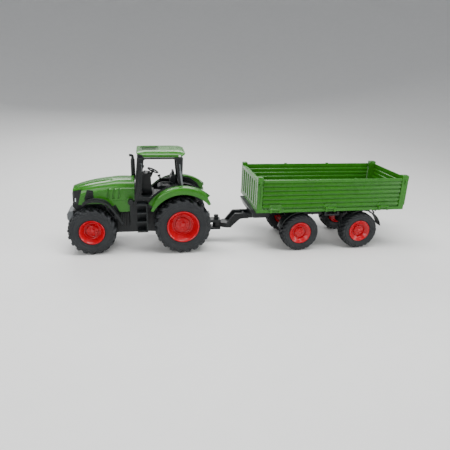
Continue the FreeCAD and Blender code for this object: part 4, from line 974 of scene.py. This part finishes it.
frame_low, frame_high = span("trailer_frame")
rail_trim = Shell()
for step in range(7):
    x = -46 - step * 22
    if min(abs(x - wheel) for wheel in (-73.7, -152.7)) > 13:
        rail_trim.add(slab(x - 1, x + 1, -frame_high.y + 0.2, frame_high.y - 0.2, 45.6, 48.4, 0.4))
for side in (-1, 1):
    rail_trim.add(prism("xz", rounded([(-33, 42.5), (-17.5, 42.5), (-14, 49.6), (-33, 49.6)], 1.0, 3), side * 29.6,
                        side * 30.7))
    rail_trim.add(slab(-188, -36, side * 29.4, side * 30.5, 49.0, 51.0, 0.3))
piece("frame_trim", rail_trim, "trailer", "black_plastic", bevel=0.25)

spine_low, spine_high = span("chassis_frame")
engine = Shell()
for side in (-1, 1):
    for step in range(4):
        x = 134 + step * 4.2
        engine.add(slab(x, x + 2.4, side * 10.8, side * 12.6, 28, 47, 0.4))
    engine.add(rod((155, side * 10.6, 40), (155, side * 14.6, 40), 4.2, 24), rod((155, side * 14, 40), (155, side * 15.6, 40), 2.6, 24))
    engine.add(slab(160, 192, side * 10.8, side * 12.2, 44, 48, 0.6))
    engine.add(rod((64, side * 12, 34), (64, side * 14.2, 34), 1.0, 12))
piece("engine_ribs", engine, "tractor", "black_plastic", bevel=0.25)

# ------------------------------------------------------------------ bed

bed_low, bed_high = span("bed_floor")
wall_box = span("side_wall_left")
front_box = span("bed_front_wall")
gate_box = span("tailgate")
post_high = front_box[1].z
wall_top_z = gate_box[1].z - 0.3
wall_low_z = 56.5
outer_y = front_box[1].y
inner_y = outer_y - 2.5
HINGE_Z = 56.3
HINGE_XS = (-38, -108, -178)
TAIL_YS = (-24, 24)
RIB_LOW, RIB_PITCH, RIB_HIGH, RIB_COUNT = 59.2, 5.3, 2.7, 6
RAIL_HIGH = 3.4


def corrugated(depth):
    """The ribbed sheet's section as (in from the outer face, z), for a sheet that is depth deep overall."""
    groove = depth * 0.72
    outer = [(groove, wall_low_z)]
    inner = [(depth, wall_low_z)]
    for step in range(RIB_COUNT):
        low = RIB_LOW + step * RIB_PITCH
        high = low + RIB_HIGH
        outer += [(groove, low - 0.25), (0.0, low), (0.12, low + 0.3), (depth * 0.42, high), (groove, high + 0.45)]
        inner += [(depth, low), (groove + 0.2, low + 0.5), (groove + 0.2, high - 0.2), (depth, high + 0.35)]
    rail = wall_top_z - RAIL_HIGH
    outer += [(groove, rail - 0.1), (0.0, rail + 0.1), (0.0, wall_top_z - 0.4), (0.4, wall_top_z)]
    inner += [(depth, wall_top_z)]
    return outer + inner[::-1]


def hinge_notches(centre, plane, start, end):
    """The room in a wall for the two lugs beside a hinge knuckle."""
    notches = Shell()
    for low in (-7.3, 3.7):
        notches.add(prism(plane, [(centre + low, 50), (centre + low + 3.6, 50), (centre + low + 3.6, 58.3),
                                  (centre + low, 58.3)], start, end))
    return notches


section = [(outer_y - back, z) for back, z in corrugated(outer_y - inner_y)]
wall = prism("yz", section, wall_box[0].x + 0.35, wall_box[1].x - 0.35)
for centre in HINGE_XS:
    wall = boolean(wall, hinge_notches(centre, "xz", inner_y - 2, outer_y + 3))
knuckles = Shell()
for centre in HINGE_XS:
    knuckles.add(rod((centre - 3.95, outer_y + 0.5, HINGE_Z), (centre + 3.95, outer_y + 0.5, HINGE_Z), 1.55, 20))
    knuckles.add(slab(centre - 3.9, centre + 3.9, inner_y + 0.6, outer_y + 0.3, wall_low_z + 0.05, 59.4))
    knuckles.add(prism("xz", rounded([(centre - 8.4, 58.6), (centre + 8.4, 58.6), (centre + 7.0, 62.2), (centre - 7.0, 62.2)],
                                     0.7, 3), outer_y - 1.4, outer_y - 0.05))
    knuckles.add(slab(centre - 3.4, centre + 3.4, outer_y - 0.2, outer_y + 0.4, 59.8, 61.0, 0.2))
nubs = joined(*[slab(x - 1.7, x + 1.7, inner_y + 0.2, outer_y - 0.1, wall_top_z - 0.5, wall_top_z + 1.0, 0.4)
                for x in (-76, -136)])
bodies = {"left": "left_side", "right": "right_side"}
pair("drop_side", joined(wall, knuckles, nubs), None, "green_plastic", "side_wall", bodies, bevel=0.16, sharp=22.0)

gate_section = [(gate_box[0].x + back + 0.55, z) for back, z in corrugated(2.0)]
gate_half = outer_y - 7.5
gate = prism("xz", gate_section, -gate_half + 0.1, gate_half - 0.1)
gate_face = bed_low.x + 2.1
for centre in TAIL_YS:
    gate = boolean(gate, hinge_notches(centre, "yz", gate_face - 6, gate_face + 4))
for centre in TAIL_YS:
    gate.add(rod((gate_face - 0.5, centre - 3.95, HINGE_Z), (gate_face - 0.5, centre + 3.95, HINGE_Z), 1.55, 20))
    gate.add(slab(gate_face - 0.4, gate_face + 1.9, centre - 3.9, centre + 3.9, wall_low_z + 0.05, 59.4))
    gate.add(prism("yz", rounded([(centre - 8.4, 58.6), (centre + 8.4, 58.6), (centre + 7.0, 62.2), (centre - 7.0, 62.2)],
                                 0.7, 3), gate_face - 0.5, gate_face + 1.4))
piece("tail_flap", gate, "tail", "green_plastic", ["tailgate"], bevel=0.16, sharp=22.0)

front_face = front_box[1].x
front_sheet = []
panel_half = outer_y - 7.2
RIB_YS = [-33 + step * 11 for step in range(7)]
for y in RIB_YS:
    front_sheet += [(y - 3.0, 1.5), (y - 2.2, 0.1), (y + 2.2, 0.1), (y + 3.0, 1.5)]
outline = [(front_face - back, y) for y, back in [(-panel_half, 1.5)] + front_sheet + [(panel_half, 1.5)]]
inside = [(front_face - back - 1.5, y) for y, back in [(-panel_half, 1.5)] + front_sheet + [(panel_half, 1.5)]]
front_wall = prism("xy", outline + inside[::-1], 56.3, wall_top_z - 3.6)
front_wall.add(slab(front_face - 3.9, front_face - 0.05, -panel_half, panel_half, wall_top_z - 4, wall_top_z, 0.3),
               slab(front_face - 3.2, front_face - 0.3, -panel_half, panel_half, 56.3, 59.0, 0.3))


def corner_post(x0, x1, low):
    """A bed post on the left: a rounded bar with a slot, a cap block and an over-centre latch."""
    middle = (x0 + x1) / 2
    shaft = prism("xy", [(middle + u, outer_y - 3.6 + v) for u, v in oblong(x1 - x0 - 0.2, 7.0, 1.0, 4)], low,
                  post_high - 4.6)
    cuts = joined(slab(middle - 0.5, middle + 0.5, outer_y - 0.7, outer_y + 2, 62, 84, 0.2),
                  slab(x0 - 1, x1 + 1, outer_y - 0.9, outer_y + 2, 86.6, 88.2))
    cap_block = slab(x0 + 0.05, x1 - 0.05, outer_y - 7.2, outer_y, post_high - 4.9, post_high - 0.6, 0.9)
    lid = slab(x0 + 0.7, x1 - 0.7, outer_y - 6.4, outer_y - 0.7, post_high - 0.8, post_high, 0.8)
    latch = joined(slab(middle - 1.3, middle + 1.3, outer_y - 0.4, outer_y + 0.9, 84.2, 90.0, 0.5),
                   rod((middle - 2.0, outer_y + 0.7, 89.2), (middle + 2.0, outer_y + 0.7, 89.2), 0.7, 12))
    return joined(boolean(shaft, cuts), cap_block, lid, latch)


front_posts = both_sides(corner_post(front_face - 6.8, front_face, 56.3))
piece("front_board", joined(front_wall, front_posts), "bed", "green_plastic", ["bed_front_wall"], bevel=0.22, sharp=30.0)
rear_edge = gate_box[0].x + 0.55
rear_posts = corner_post(rear_edge - 0.1, rear_edge + 6.9, 58.0).moved(Matrix.Translation((0, 0.12, 0.12)))
piece("rear_post_caps", both_sides(rear_posts), "bed", "green_plastic", bevel=0.22)

floor_z = 54.2
planks = Shell()
for step in range(11):
    y = -37.5 + step * 7.5
    planks.add(prism("xz", rounded([(bed_low.x + 6, floor_z - 0.2), (front_face - 6, floor_z - 0.2),
                                    (front_face - 7, floor_z + 0.7), (bed_low.x + 7, floor_z + 0.7)], 0.3, 2),
                     y - 1.1, y + 1.1))
brackets = Shell()
for centre in HINGE_XS:
    brackets.add(prism("xz", rounded([(centre - 9.6, 52.5), (centre + 9.6, 52.5), (centre + 8.6, 55.4), (centre + 7.3, 55.4),
                                      (centre + 7.3, 54.2), (centre - 7.3, 54.2), (centre - 7.3, 55.4), (centre - 8.6, 55.4)],
                                     0.35, 2), outer_y - 1, outer_y + 0.6))
rail_lip = slab(bed_low.x + 8, front_face - 1, outer_y - 0.4, outer_y + 0.3, 52.5, 53.4, 0.15)
piece("bed_planks", planks, "bed", "green_plastic", bevel=0.2)
piece("bed_brackets", both_sides(joined(brackets, rail_lip)), "bed", "green_plastic", bevel=0.15)

# ------------------------------------------------------------------ floor, light and camera

BOWL_FLAT, BOWL_TURN = 0.75, 1.7
bowl = [(0.02, 0.0), (BOWL_FLAT, 0.0)]
bowl += [(BOWL_FLAT + BOWL_TURN * math.sin(turn), BOWL_TURN * (1 - math.cos(turn)))
         for turn in [math.radians(step * 7.5) for step in range(1, 13)]]
bowl.append((BOWL_FLAT + BOWL_TURN, 3.0))
bowl_form = bmesh.new()
bowl_rings = [[bowl_form.verts.new((reach * math.cos(turn), reach * math.sin(turn), up))
               for turn in [2 * math.pi * step / 96 for step in range(96)]] for reach, up in bowl]
bowl_form.faces.new(bowl_rings[0])
for lower, upper in zip(bowl_rings, bowl_rings[1:]):
    for step in range(96):
        bowl_form.faces.new((lower[step - 1], lower[step], upper[step], upper[step - 1]))
bmesh.ops.recalc_face_normals(bowl_form, faces=bowl_form.faces)
ground = bpy.data.meshes.new("floor")
bowl_form.to_mesh(ground)
bowl_form.free()
ground.shade_smooth()
floor_thing = bpy.data.objects.new("floor", ground)
bpy.context.scene.collection.objects.link(floor_thing)
ground.materials.append(finish("studio_floor", linear(226, 226, 224), 0.55, 0.03, 0.01, 400.0, 0.01, 0.0))

world = bpy.data.worlds.new("studio")
world.use_nodes = True
world.node_tree.nodes["Background"].inputs["Color"].default_value = (0.86, 0.9, 1.0, 1.0)
world.node_tree.nodes["Background"].inputs["Strength"].default_value = 0.36
bpy.context.scene.world = world


def soft_light(name, place, target, wide, deep, power):
    """A rectangular soft light that faces a point."""
    data = bpy.data.lights.new(name, "AREA")
    data.shape = "RECTANGLE"
    data.size = wide
    data.size_y = deep
    data.energy = power
    lamp = bpy.data.objects.new(name, data)
    lamp.location = place
    lamp.rotation_mode = "QUATERNION"
    lamp.rotation_quaternion = (Vector(target) - Vector(place)).to_track_quat("-Z", "Y")
    bpy.context.scene.collection.objects.link(lamp)


soft_light("top_box", (0.05, 0.10, 0.75), (0, 0, 0.05), 0.9, 0.28, 9.0)
soft_light("front_box", (0.55, 0.75, 0.45), (0, 0, 0.06), 0.7, 0.35, 4.5)
soft_light("side_box", (-0.75, 0.45, 0.35), (-0.05, 0, 0.06), 0.4, 0.4, 4.0)
soft_light("back_box", (0.1, -0.8, 0.6), (0, 0, 0.05), 0.8, 0.3, 6.0)

CAMERA_PLACE = Vector((0.11243, 0.52299, 0.21664))
YAW, PITCH, ROLL = (math.radians(angle) for angle in (10.658, 20.112, 1.871))
ahead = Vector((-math.sin(YAW) * math.cos(PITCH), -math.cos(YAW) * math.cos(PITCH), -math.sin(PITCH)))
right = ahead.cross(Z).normalized()
above = right.cross(ahead)
rolled_right = right * math.cos(ROLL) + above * math.sin(ROLL)
rolled_up = above * math.cos(ROLL) - right * math.sin(ROLL)
camera_data = bpy.data.cameras.new("photo_view")
camera_data.sensor_width = 36.0
camera_data.lens = 34.89
camera_data.clip_start = 0.01
camera = bpy.data.objects.new("photo_view", camera_data)
turned = Matrix((rolled_right, rolled_up, -ahead)).transposed().to_4x4()
camera.matrix_world = Matrix.Translation(CAMERA_PLACE) @ turned
bpy.context.scene.collection.objects.link(camera)
bpy.context.scene.camera = camera
